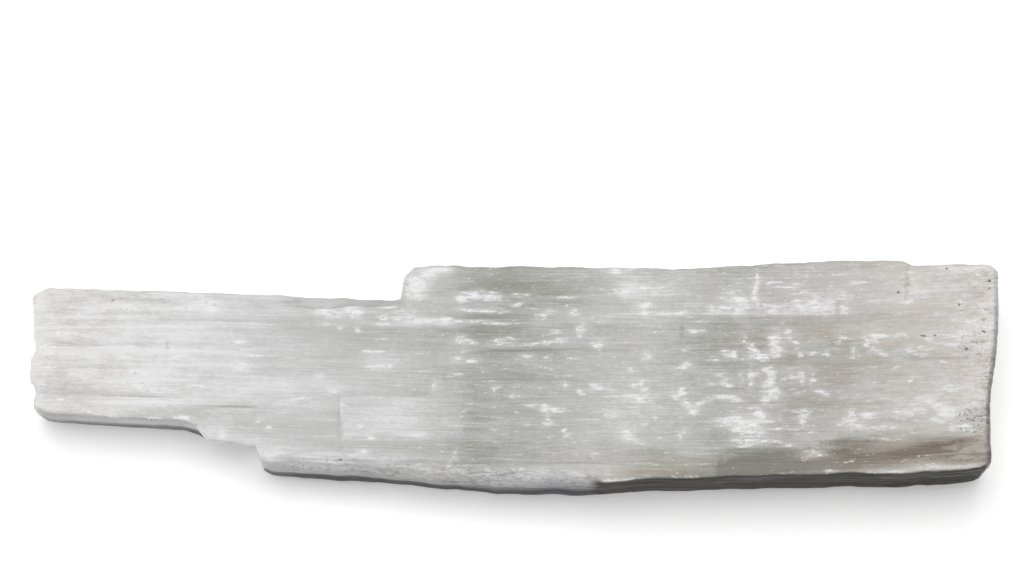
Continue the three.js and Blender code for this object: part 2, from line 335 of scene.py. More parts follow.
# Crushed fibre, which scatters light and shows white.
BRUISES = marks(
    # the left half
    (-185.5, 17.5, 4.6, 0.9), (-188, 16.4, 3, 0.7, 0.8), (-192, 3.3, 3.4, 0.6, 0.85),
    (-181, 0, 2.4, 0.6, 0.8), (-193, 12, 6, 1.6, 0.75), (-192, 8.8, 5, 0.8, 0.7),
    (-166, -17.8, 4.4, 0.9, 0.9), (-148, -18.4, 3.4, 0.6, 0.9), (-135.8, -18.2, 3, 0.8),
    (-174, -16.5, 3.4, 0.8, 0.75), (-155, -4.8, 3.4, 1.2, 0.8), (-148, -7, 5, 1.2, 0.7),
    (-155, 1, 5, 1.6, 0.6), (-147, -12, 2.2, 1.2, 0.7), (-114, 13.5, 2.8, 0.8),
    (-106, 7.8, 4.4, 0.6, 0.9), (-137, 7.5, 4, 0.8, 0.6), (-126, 29.5, 4.2, 1.9, 0.8),
    (-125, 27.5, 2, 1.1, 0.7), (-136.5, 28, 3.2, 0.7), (-113, 3, 3.2, 2.2, 0.6),
    (-130, -4.7, 3, 0.5, 0.85), (-120, -25.5, 1.4, 1.8, 0.6), (-101, -22.5, 1.6, 0.9, 0.9),
    (-105, -19.8, 1.2, 0.7, 0.8), (-158, 27.5, 10, 0.7, 0.62), (-155, 29.3, 8, 0.6, 0.55),
    (-88, -10.4, 4.2, 0.7, 0.95, 8), (-80.5, -0.8, 1.5, 0.9, 0.7), (-74, -7, 2.2, 1.5, 0.7),
    # under the step of the back edge
    (-77.5, 26.5, 2.8, 2.6, 0.85), (-74, 24.5, 4, 1.1, 0.7), (-65, 25.5, 2.5, 2.6, 0.9),
    (-68, 27.5, 3, 1.2, 0.7), (-81.5, 26.5, 1.2, 1.8, 0.6), (-53, 28, 4.6, 0.6, 0.9),
    (-48.5, 23.2, 1.6, 0.9, 0.9), (-54, 23.4, 2.2, 1.1, 0.9), (-43.5, 22.8, 3.4, 2.6, 0.75),
    (-54, 20.7, 5, 0.6, 0.9), (-65, 18.5, 1.1, 1.2, 0.8), (-72, 19.5, 1.4, 1.3, 0.6),
    (-77, 21, 3, 0.8, 0.6), (-36, 22, 5, 1.2, 0.62), (-60, 26, 22, 0.6, 0.6), (-56, 9.3, 3, 0.6, 0.95),
    (-60.5, 9.2, 2, 0.9, 0.8), (-47, 5.8, 5, 0.5, 0.85), (-57, 3, 3.4, 0.7, 0.85),
    (-51.5, 3.2, 1.4, 0.8, 0.95), (-49, 8, 5, 0.5, 0.6), (-51, 14.5, 5, 0.6, 0.6),
    (-33, -5, 1.1, 2.6, 0.65), (-24, -0.4, 3.2, 0.5, 0.7), (-59, -27, 1.6, 0.7, 1, -20),
    (-63, -22.5, 1, 0.8, 0.8), (-63.5, -34.5, 3.2, 2.2, 0.75), (-61.5, -33, 1.1, 0.9, 0.95),
    (-75, -37, 5, 1.3, 0.7), (-70.9, -14, 0.8, 5, 0.62), (-24.5, -34, 0.9, 2.5, 0.65),
    (-26.5, -38, 0.9, 1.8, 0.65), (-88, -34, 12, 1.5, 0.5),
    # the clear block right of the step
    (-41, 37, 4.2, 4.4, 0.9), (-37, 41, 4.6, 2.2, 0.95, 35), (-31.5, 43.6, 5.4, 1.3),
    (-27, 43.4, 1.6, 1.3, 0.8), (-43.3, 34, 1.6, 2.6, 0.7), (-40, 33, 3.2, 2.2, 0.6),
    (-21.5, 31.3, 2.8, 1.8), (-16, 33, 4.6, 2.1), (-11, 31.6, 4.2, 1.4), (-6.5, 31.5, 1.1, 1.3, 0.85),
    (-9, 33.6, 3.2, 0.5, 0.9), (-19, 26.4, 5.4, 0.8), (-12, 26.1, 5.4, 0.6, 0.95),
    (-4, 25.5, 2.6, 0.5, 0.9), (-28.5, 22.3, 2.8, 1.2, 0.95), (-20, 21.7, 8.4, 0.6, 0.95),
    (-8, 20.8, 8.4, 0.6, 0.9), (-31, 21.6, 3, 0.8, 0.8), (-21.8, 14.3, 2.4, 1.7),
    (-18, 13, 2.2, 1, 0.8), (-6, 13.6, 3.2, 1.2, 0.75), (-1.5, 14.8, 1.8, 0.6, 0.95),
    (-4, 11.8, 5, 0.9, 0.65), (-22.5, 6.4, 1.8, 0.7), (-17.3, 5.2, 2.2, 1),
    (-21.3, 8.9, 0.8, 0.6, 0.95), (-8.6, -7, 0.8, 1.9), (-7, -5.8, 1.1, 0.6, 0.95),
    (0, -9.6, 2.2, 1.1, 0.8), (2.5, 32.8, 4.2, 0.6, 0.85), (1.5, 28.7, 2.6, 1, 0.9),
    (21, 31.5, 4.8, 0.6, 0.95), (24, 25, 1.9, 1.7, 0.9), (14, 25.2, 2.2, 1.1, 0.85),
    (11, 23.5, 2.6, 1.6, 0.75), (27.5, 18.5, 1.9, 2.7, 0.75), (26.5, 15.5, 1.1, 0.9, 0.85),
    (17, 17, 2.2, 1.1, 0.6), (34, 11.3, 1.9, 1.9, 0.95), (10, 12.3, 8, 0.9, 0.75, 6),
    (19, 13.3, 3.2, 1.7, 0.75), (5, 6.8, 2.5, 1, 0.85), (13, 6.5, 0.9, 0.7, 0.9),
    (20.5, -4.6, 1.1, 1.3, 0.85), (20, -1.8, 4.2, 0.5, 0.7), (12.2, -15, 2.6, 1.6),
    (17, -15.7, 3.4, 1.1, 0.95), (13.5, -18.5, 1.3, 2.5, 0.85), (14, -21.5, 2.8, 1.7, 0.7),
    (8, -14, 4.2, 0.6, 0.7), (5, -21.5, 1.3, 1.3, 0.65), (20.5, -25, 0.9, 3, 0.62),
    (26.5, -8, 1.3, 0.8, 0.85, -30), (28.3, -9.3, 0.9, 0.6, 0.85), (32.5, -5.8, 1.7, 0.9, 0.85),
    (35, -7, 3.2, 0.5, 0.75), (-8.8, -24, 0.7, 0.8, 0.9),
    # the middle of the right half
    (44, 33.5, 5.2, 2.4, 0.72), (56, 35.4, 9, 1.8, 0.6), (47, 36.5, 4, 1.4, 0.6), (62, 33, 8, 1.8, 0.4),
    (41.5, 42.3, 2.6, 1.1, 0.95), (45, 43.3, 8, 0.8, 0.7), (53.5, 27.8, 3.2, 1, 0.95),
    (53.5, 25, 1, 1.5, 0.95), (67, 24.4, 5.4, 0.7, 0.95), (60, 24, 8, 0.6, 0.7),
    (81, 26.5, 1.5, 1.5, 0.95), (87, 26, 5.2, 1.7, 0.85), (92, 25.5, 3.2, 1.6), (94.5, 28, 2.7, 2.7),
    (92, 30.5, 3.2, 1.3, 0.95), (89, 33.5, 2.7, 0.7, 0.9), (86, 31, 2.2, 0.9, 0.7),
    (100, 40.5, 0.9, 1.1), (100, 37.5, 1, 1.3), (99, 34.5, 1.3, 2.5), (98.5, 31, 1.1, 1.5, 0.95),
    (100.3, 28.5, 0.6, 2.4, 0.85), (76.5, 21, 2.2, 0.5, 0.85), (74, 17.5, 2.8, 0.8, 0.9),
    (73.5, 16.4, 1.8, 0.6, 0.9), (77.5, 17.7, 1.8, 0.6, 0.85), (70, 9, 2.4, 0.5, 0.8),
    (54, 6.3, 2.5, 1.7, 0.7), (47.8, 1.3, 1.1, 0.8, 0.95), (71, 2.8, 2.2, 1.4),
    (68.6, 1.7, 2.2, 0.7, 0.95), (82, 4.7, 2, 0.7), (88.5, 6.6, 3.1, 1.4), (90, 8.2, 1.8, 0.7),
    (86.5, 8.7, 1.6, 0.6, 0.75), (49, -6, 1.5, 0.8, 0.9), (51.8, -5, 0.9, 1.3, 0.95),
    (53.5, -7.5, 1, 0.9, 0.75), (52, -11.5, 4.2, 1.4, 0.65), (45, -10, 10, 0.5, 0.6),
    (38, -18.7, 3.6, 0.9, 0.8), (57.5, -19, 0.8, 0.8, 0.9), (53, -22, 1.4, 0.8, 0.8),
    (45.8, -26.6, 2.1, 2.3), (48.5, -28.7, 2.3, 0.8, 0.9, -20), (54, -30.2, 3, 0.8, 0.7),
    (67.8, -27, 0.7, 2.1, 0.75), (68.5, -24.5, 0.9, 0.9, 0.8), (32.5, -35, 2.4, 1.8, 0.55),
    (68.4, -8.5, 1.6, 2.3, 1, -12), (66, -11, 2, 1.5, 0.85), (70.4, -13, 1.3, 2.8, 1, 25),
    (73.3, -17, 1.9, 1.7), (75.5, -13.5, 1.8, 0.9, 0.85), (79, -12, 3.4, 0.8, 0.8, 22),
    # the broken ring and its neighbours
    (95.3, 12.6, 0.7, 3, 0.9), (97, 11, 1.5, 2.1, 0.9), (96.3, 7, 0.7, 3.4, 0.7),
    (98.5, 7.6, 2.1, 2.6, 0.95), (101.5, 6.2, 4.2, 1.9), (105.8, 11.5, 1.9, 3.1),
    (106.5, 14, 2.6, 1.3, 0.95), (108.5, 9.2, 1.5, 1.5, 0.95), (106.5, 7.4, 2.2, 1.7),
    (96.6, -2.2, 1.4, 3.2, 1, 8), (96.6, -5.2, 0.6, 1.7, 0.95), (98.8, -0.8, 1.3, 0.7, 0.95),
    (92.8, -2, 0.6, 1.4), (93.2, -4.8, 0.5, 1.2, 0.9), (105, -3, 1.7, 4.4),
    (103.3, 0.6, 2.4, 1.1, 0.95), (106, -8.5, 2.5, 2.6), (107.5, -11, 1.6, 1.1, 0.95),
    (102.5, -6, 1.3, 2.2, 0.75), (102.4, -12.4, 1.5, 2, 1, -30), (85, -1.5, 2.4, 1.3, 0.7),
    (86, -4.5, 1.8, 1.1, 0.8), (87.5, -6, 1.7, 1.1), (81, -5.5, 1.6, 1.2, 0.6), (86, -10.6, 4.8, 1.1),
    (91.5, -12, 2.5, 1.4), (89, -20.5, 6.8, 2.3, 0.95), (94, -23.5, 6.2, 2.3), (100.4, -18, 2.7, 2.1),
    (103.5, -21, 3.2, 0.7, 0.85), (97, -26, 5.4, 1.5, 0.85), (95, -29, 7.2, 1.3, 0.95),
    (93, -31.2, 5.2, 0.6, 0.8), (105, -28.9, 6.2, 0.8, 0.9, -5), (111.5, -30.5, 2.2, 0.7, 0.95),
    (98, -15, 6, 0.6, 0.6), (113, 0.8, 2, 0.7, 0.85), (114, -2.3, 2.6, 1, 0.9),
    (117.5, -2.2, 1.3, 2, 0.95), (121.8, -3.8, 1.4, 1.3, 0.95), (118, -5, 1, 0.8, 0.9),
    (111.5, -2.5, 1.6, 1.6, 0.75), (122, -1, 1, 0.6, 0.9), (125, -8.4, 2.4, 0.7, 1, -12),
    (127.6, -9.7, 1.6, 0.6, 1, -12), (112.5, 17, 1.5, 1, 0.95), (115, 12.2, 2, 0.6, 1, -15),
    (113.5, 14.2, 1.4, 0.6, 0.9), (110, 20, 1.2, 1.1, 0.6), (117.5, 7, 1.4, 1.3, 0.95),
    (122.3, 7.6, 1.3, 0.8, 0.8), (128.2, 7.2, 1.5, 0.9, 0.9), (134, 14.2, 2.4, 1, 0.8),
    (133.3, 12, 0.8, 1, 0.9), (139, 8.6, 1.1, 1.9), (138.5, 5.7, 1.2, 0.7, 0.95),
    (141, 7, 0.8, 1.1, 0.85), (118, -19.5, 1.6, 2.3, 0.95), (116, -17, 2.8, 0.6, 0.8),
    (119.5, -17, 1, 1.5, 0.85), (118, -22, 0.7, 0.9, 0.75), (110, -24, 9, 0.6, 0.6),
    # the right end
    (149, 14.8, 3.8, 1.1), (144.6, 11.2, 1.6, 0.9, 0.95), (147, 9.6, 3.4, 0.9, 0.9, -42),
    (150.5, 7, 3.2, 0.7, 0.75, -15), (143.5, 14.2, 1.6, 0.6, 0.8), (147, 13, 3.2, 0.9, 0.7),
    (158, 14.9, 3.2, 0.8, 0.9), (134.5, 31.6, 3.2, 1.7, 0.7), (135.4, 26, 2.6, 2.2, 0.65),
    (122, 28, 11.2, 3.4, 0.7), (128.6, 27.2, 3.8, 3.4, 0.72), (118, 24.6, 14, 1, 0.7),
    (106, 27, 5.4, 2.2, 0.65), (125, 31.5, 4.4, 0.7, 0.7), (120, 33, 8, 0.5, 0.8),
    (108, 37.5, 5.4, 0.5, 0.85), (111, 35.5, 6.4, 0.5, 0.75), (116, 37, 3.4, 0.5, 0.8),
    (142, 37.5, 3.4, 0.5, 0.85), (125, 41, 14, 0.6, 0.65), (162.5, 8.5, 2.4, 1.1, 0.95),
    (167, 6.5, 3.4, 0.6, 0.8), (170, 9.5, 5.4, 1.3, 0.7), (175.5, 3.9, 1.6, 0.6, 0.95),
    (162, -4, 1.6, 0.7, 0.75, 45), (177, -7.5, 3.2, 2.2, 0.62), (172, -14.3, 4.4, 1.5, 0.9, -20),
    (177.5, -18, 3.2, 2.5, 0.9), (166, -16, 3.4, 1.3, 0.7), (158, -18, 4.4, 2.5, 0.65),
    (174, -20.4, 5.2, 1.6, 0.85), (183, -24, 6.2, 2, 0.75), (138, -19, 2.2, 3.3, 0.9),
    (141, -22.5, 2.8, 1.7, 0.7), (144.5, -18.5, 4.2, 1.5, 0.85), (134.6, -21.5, 3.4, 2.2, 0.7),
    (150, -23.5, 8.2, 0.9, 0.7), (148, -28.5, 8.2, 0.9, 0.6), (121, -34, 5.2, 1.5, 0.55, -5),
    (119.5, -36, 3.2, 1.3, 0.55), (124.5, -34, 2.6, 1.1, 0.55), (137, -37, 2.6, 0.7, 0.8, 20),
    (140, -33, 2.2, 0.7, 0.5, 20), (158.5, -37, 2.6, 1.1, 0.5), (166, -35, 5.4, 0.7, 0.4),
    (129, -41.4, 3.2, 0.8, 0.95), (152, -42.1, 9.4, 0.6, 0.8), (174, -40.6, 13, 0.9, 0.6),
    (190, -40.8, 6.2, 1, 0.8), (189, 17, 6.4, 5, 0.5), (183, 28, 5.4, 2.2, 0.6),
    (177, 13.5, 10, 2.2, 0.6), (165, 42, 3.4, 1.8, 0.7), (186, 43, 4.4, 1.2, 0.7),
    (164.4, 39, 1.6, 3.2, 0.75), (162, 29, 2.2, 0.9, 0.95, 12), (191, -13, 5, 4, 0.55),
    (187, 21, 9, 0.8, 0.7), (178, 10.5, 7, 0.8, 0.65), (150, 1.6, 9, 0.6, 0.55),
    # the front edge
    (46, -45.3, 5.4, 0.8, 1, 6), (66, -43.6, 13, 0.5, 0.5), (25, -46.2, 14, 0.9, 0.75),
    (15, -45.6, 8, 1.2, 0.75), (2, -45.2, 4.4, 1.2, 0.75), (-14, -44.6, 14, 1.2, 0.6),
    (-45, -42, 14, 1, 0.5), (52, -38.3, 6, 0.5, 0.65), (74, -38.6, 9, 0.4, 0.6),
)
# Sound, clear fibre, which lets light through and shows grey; the thin ones are cracks.
CLEARINGS = marks(
    (134, -28.6, 3.4, 1.8, 0.5), (141, -30.6, 5, 2.6, 0.7), (151, -31.5, 9, 2, 0.5),
    (172, -31, 18, 3.6, 0.3), (-58, 30.4, 13, 1.8, 0.22), (-52, 14, 26, 6, 0.18),
    (-2, 38, 26, 5.5, 0.13), (12, 35, 22, 3, 0.1), (-10, 23.6, 20, 1.6, 0.3), (-12, 17.5, 12, 3, 0.2),
    (-16, -34.5, 9, 5, 0.06), (-60, -31.5, 24, 3, 0.12), (30, 9.6, 26, 0.6, 0.2),
    (0, 9.4, 14, 0.5, 0.4), (5, -2.6, 22, 1.2, 0.1), (78, 12, 13, 7, 0.25), (84, 20, 10, 3, 0.15),
    (112, 5, 15, 2.2, 0.22), (136, 11, 8, 3.4, 0.3), (120, 21, 18, 2.4, 0.22), (120, -14, 14, 4, 0.15),
    (102, -37.5, 17, 4.6, 0.68), (130, -38, 20, 4.6, 0.7), (90, -40, 11, 4, 0.25),
    (66, -41, 16, 3.2, 0.4), (63, -44, 14, 2, 0.6), (172, -43.4, 18, 1.4, 0.9),
    (135, -43, 16, 1.2, 0.3), (155, 4, 22, 4, 0.2), (92, 3, 16, 4, 0.15), (175, 2, 12, 10, 0.15),
    (-60, 27, 30, 5, 0.05), (170, -22, 18, 3, 0.2), (-12, 10, 10, 4, 0.15),
    (-154, -9.2, 13, 0.45, 0.32, -2), (-117, -13.6, 17, 0.45, 0.32, -2), (-188, 13.4, 5, 0.6, 0.2),
    (-165, 32.2, 5, 0.7, 0.2), (-150, 31.6, 5, 0.6, 0.2), (-190, 24, 9, 3, 0.12),
    (-143, 11.5, 0.8, 3, 0.3), (-184, -4, 9, 1.6, 0.14), (55, -34.5, 12, 2.4, 0.2),
    (86, -17, 9, 2, 0.15), (84, -28, 7, 5, 0.22), (153, 37, 9, 4, 0.12), (172, 5.2, 12, 0.8, 0.35),
    (155, -1.6, 6, 0.8, 0.3), (170, -16.6, 4, 1.4, 0.4, -25), (130, -29.4, 5, 1, 0.35),
    (-92, 20, 30, 8, 0.08), (133, 28, 0.8, 4.2, 0.35), (68.6, 18, 0.5, 3.4, 0.3),
    (76, 20, 0.5, 2.6, 0.25), (110, 16, 0.5, 2.4, 0.25), (83.4, -40, 0.7, 3.4, 0.5),
    (-71.9, -18, 0.8, 9, 0.25), (-145, -17, 24, 3, 0.3), (-110, -21, 22, 3.4, 0.15),
    (55, -40.5, 22, 3.2, 0.25), (105, -26, 12, 3, 0.22), (130, -38, 24, 6, 0.12), (48, -34, 22, 4, 0.1),
    (-165, 12.9, 30, 0.8, 0.2), (-180, 3.5, 18, 1, 0.2), (-165, -8, 24, 0.9, 0.2),
    (-150, 23, 40, 0.8, 0.12), (-170, 26, 20, 0.8, 0.12), (-182, 15, 12, 3, 0.1),
    (-185, -6.5, 10, 1.2, 0.2), (-160, 31.5, 34, 1.6, 0.05),
)
# Milky fibre that isn't crushed.
MILKS = marks(
    (161, -37, 7, 1.3, 0.35), (173, -39.8, 9, 1.3, 0.3), (121, -34.8, 5.5, 2.2, 0.5),
    (93, -20, 9, 4, 0.15), (-53, -17.5, 18, 8.6, 0.12), (-40, -26, 6, 1.4, 0.3), (-55, 4, 14, 5, 0.2),
    (-37, 38, 9, 7, 0.12), (-36, 22, 12, 1.6, 0.3), (-24, 0, 6, 22, 0.08), (54, 33, 18, 5.5, 0.12),
    (60, 26, 24, 3, 0.1), (44, -14, 18, 13, 0.2), (50, 8, 10, 3, 0.15), (98, -23, 14, 6, 0.1),
    (170, -2, 20, 10, 0.12), (168, -16, 20, 5, 0.25), (188, 0, 10, 40, 0.1), (-130, 20, 26, 6, 0.08),
    (-175, -12, 18, 4, 0.05), (-90, -4, 22, 4, 0.15), (-96, -33, 18, 4, 0.12),
    (-72, -35.5, 26, 3, 0.42), (-35, -39, 24, 2.6, 0.22), (14, -42, 20, 3, 0.5),
    (12, -44.4, 20, 1.6, 0.35), (170, 34, 24, 9, 0.16), (120, 34, 34, 10, 0.12), (75, 34, 36, 8, 0.04),
    (150, 37, 34, 9, 0.14), (95, 24, 60, 4, 0.06), (115, 19, 16, 4, 0.14), (190, 30, 8, 4, 0.15),
    (-155, 10, 26, 3, 0.08), (-175, 1, 14, 3, 0.08), (-25, -41, 18, 2.5, 0.25), (105, 11, 8, 4, 0.1),
    (50, 41, 14, 3, 0.12), (-15, 6, 16, 2, 0.1), (-165, 20.2, 30, 0.6, 0.25), (-160, 9.9, 40, 1, 0.22),
    (-150, -2, 22, 2.2, 0.15), (-160, -11.5, 22, 0.8, 0.2), (-170, 24.6, 24, 0.6, 0.2),
    (-135, 4, 30, 1, 0.15),
)
# Blocks of fibre that are clearer or milkier than their neighbours, with split sides.
TONES = (
    Layer((-71.5, -20), (-28, -9), -0.12, 1.5, 1.5),
    Layer((-62, -14), (-26, -12), -0.05, 16, 3),
    Layer((-34, -10), (-40, 5), 0.12, 9, 4),
    Layer((-22, -5), (-41, -30), 0.08, 2.5, 2),
    Layer((-24, 44), (27, 46), 0.08, 3, 2),
    Layer((82, 124), (-52, -31), 0.3, 6, 2.2),
    Layer((112, 146), (-52, -34), 0.2, 10, 3.5),
    Layer((56, 86), (-44, -33), 0.08, 3, 3),
    Layer((100, 134), (23, 30), -0.12, 3, 2),
    Layer((-120, -72), (-30, -14), 0.06, 3, 3),
)
# Iron and clay that have got between the fibres, brown to cream.
STAINS = marks(
    (176, -30.8, 14, 3.8, 1, 6), (162, -33.6, 9, 2.2, 0.9, 6), (148, -36, 17, 3.8, 0.95),
    (184, -36.5, 12, 3, 0.7), (195, -34, 6, 6, 0.4), (120, -38, 16, 3, 0.25),
    (101.5, 13.6, 4.6, 4, 0.55), (96, 9, 1.6, 4, 0.4), (52, -42, 9, 2.2, 0.5), (40, -43, 8, 1.4, 0.45),
    (-30, -39, 12, 2, 0.15), (-68, -36, 8, 3, 0.16), (133, -4, 8, 4, 0.22), (140, 2, 12, 2.4, 0.18),
    (126, 16, 10, 3, 0.2), (150, 24, 14, 3, 0.18), (184, 33, 12, 6, 0.15), (187, -20, 6, 4, 0.3),
    (45, 10, 6, 3, 0.12), (-15, 18, 6, 3, 0.1), (135, -32.5, 8, 3, 0.4),
)
# Fibre with a breath of cream in it.
WARMTHS = marks(
    (46, -42.5, 16, 2.6, 0.8), (64, -39, 16, 3.6, 0.35), (160, -37, 8, 1.6, 0.5), (121, -35, 7, 2, 0.5),
    (101, 14, 7, 4, 0.4), (-40, -41, 30, 2, 0.25), (30, -36, 20, 4, 0.2), (135, 16, 20, 2.4, 0.3),
)
# Grit caught in pits: whole spots where it is strong, scattered specks where it is weak.
GRIT = marks(
    (158, 33.4, 0.9, 0.7), (178, 43.3, 0.8, 0.6), (195.6, 38, 1.1, 0.8), (182.8, 28, 1, 0.7),
    (195.4, 35, 0.8, 0.6), (185.2, 9, 1.1, 0.9), (168, 14.6, 1.6, 0.5), (172.4, 14.7, 1.1, 0.5),
    (192.5, 16.3, 0.8, 0.6), (-71.5, -35.6, 0.8, 0.7), (-88.5, 28.4, 0.7, 0.6, 0.8),
    (133.2, -29.2, 0.8, 0.6, 0.6), (-148, -19.2, 1.4, 0.6, 0.9), (188, -20.6, 7, 4.6, 0.6),
    (192, 30, 5, 9, 0.18), (-165, 31.8, 5, 1.6, 0.36), (194, -8, 4, 12, 0.34), (128, -32, 8, 3.4, 0.3),
    (170, -36, 22, 3, 0.3), (-10, -44, 50, 1.6, 0.3), (185, 12, 8, 6, 0.24), (-88, -38, 10, 2, 0.3),
)
# Fibre that is hardly striped.
PLAIN_FIBRE = marks((106, -37, 28, 4.5, 0.3))
# How strong a spot is in its middle, how fast that falls, and where it is cut off.
SPOT_PEAK, SPOT_FALL, SPOT_TOP = 1.3, 0.65, 1.1
# How spots tear along and across the fibres: how far, the noise's size both ways, and its seed.
TEARS_ALONG = ((0.9, 8.0, 1.1, 301), (0.6, 3.0, 0.8, 302))
TEARS_ACROSS = ((0.35, 3.4, 2.6, 303),)


def ragged(x: np.ndarray, y: np.ndarray) -> tuple[np.ndarray, np.ndarray]:
    """Moves points a little at random, more along the fibres, so that spots get torn edges.

    Args:
        x: Places along the log.
        y: Places across it.

    Returns:
        The moved places, each way.
    """
    move_x, move_y = (
        sum(reach * noise(x / along, y / across, PLANE, seed) for reach, along, across, seed in tears)
        for tears in (TEARS_ALONG, TEARS_ACROSS)
    )
    return x + move_x, y + move_y


def strongest(table: tuple[Mark, ...], x: np.ndarray, y: np.ndarray) -> np.ndarray:
    """The strongest mark at each point: strength times peak - fall r^2, within bounds.

    Args:
        table: The marks.
        x: Places along the log.
        y: Places across it.

    Returns:
        The strength at each point.
    """
    total = np.zeros(np.broadcast(x, y).shape)
    for mark in table:
        spot = np.clip(SPOT_PEAK - SPOT_FALL * mark.square(x, y), 0.0, SPOT_TOP)
        total = np.maximum(total, mark.strength * spot)
    return total


def summed(table: tuple[Mark, ...], x: np.ndarray, y: np.ndarray, spread: float = 1.0) -> np.ndarray:
    """All marks added, each fading from its middle as exp(-r^2 / spread).

    Args:
        table: The marks.
        x: Places along the log.
        y: Places across it.
        spread: How much wider than its reach each mark fades.

    Returns:
        The sum at each point.
    """
    total = np.zeros(np.broadcast(x, y).shape)
    for mark in table:
        total += mark.strength * np.exp(-mark.square(x, y) / spread)
    return total


# ------------------------------------------------------------------ the log's form


@dataclass(frozen=True)
class Ripple:
    """One size of the fibre's relief, in millimetres: a wave, or terraces where it has treads."""

    along: float
    across: float
    height: float
    seed: int
    treads: int = 0
    riser: float = 0.0

    def rise(self, x: np.ndarray, y: np.ndarray, z: np.ndarray) -> np.ndarray:
        """The height times noise of this size, or times its terraces less their middle one.

        Args:
            x: Places along the fibres.
            y: Places across them.
            z: Heights.

        Returns:
            The ripple's rise at each point.
        """
        wave = noise(x / self.along, y / self.across, z / self.across, self.seed)
        if self.treads:
            wave = terraces(wave, self.treads, self.riser) - self.treads / 2.0
        return self.height * wave


# Broad split bundles, the splits within them, ridges and single threads.
RELIEF = (
    Ripple(260, 7.5, 0.26, 101, 6, 0.14),
    Ripple(110, 2.9, 0.13, 102, 5, 0.2),
    Ripple(130, 2.2, 0.14, 103),
    Ripple(60, 1.1, 0.07, 104),
)


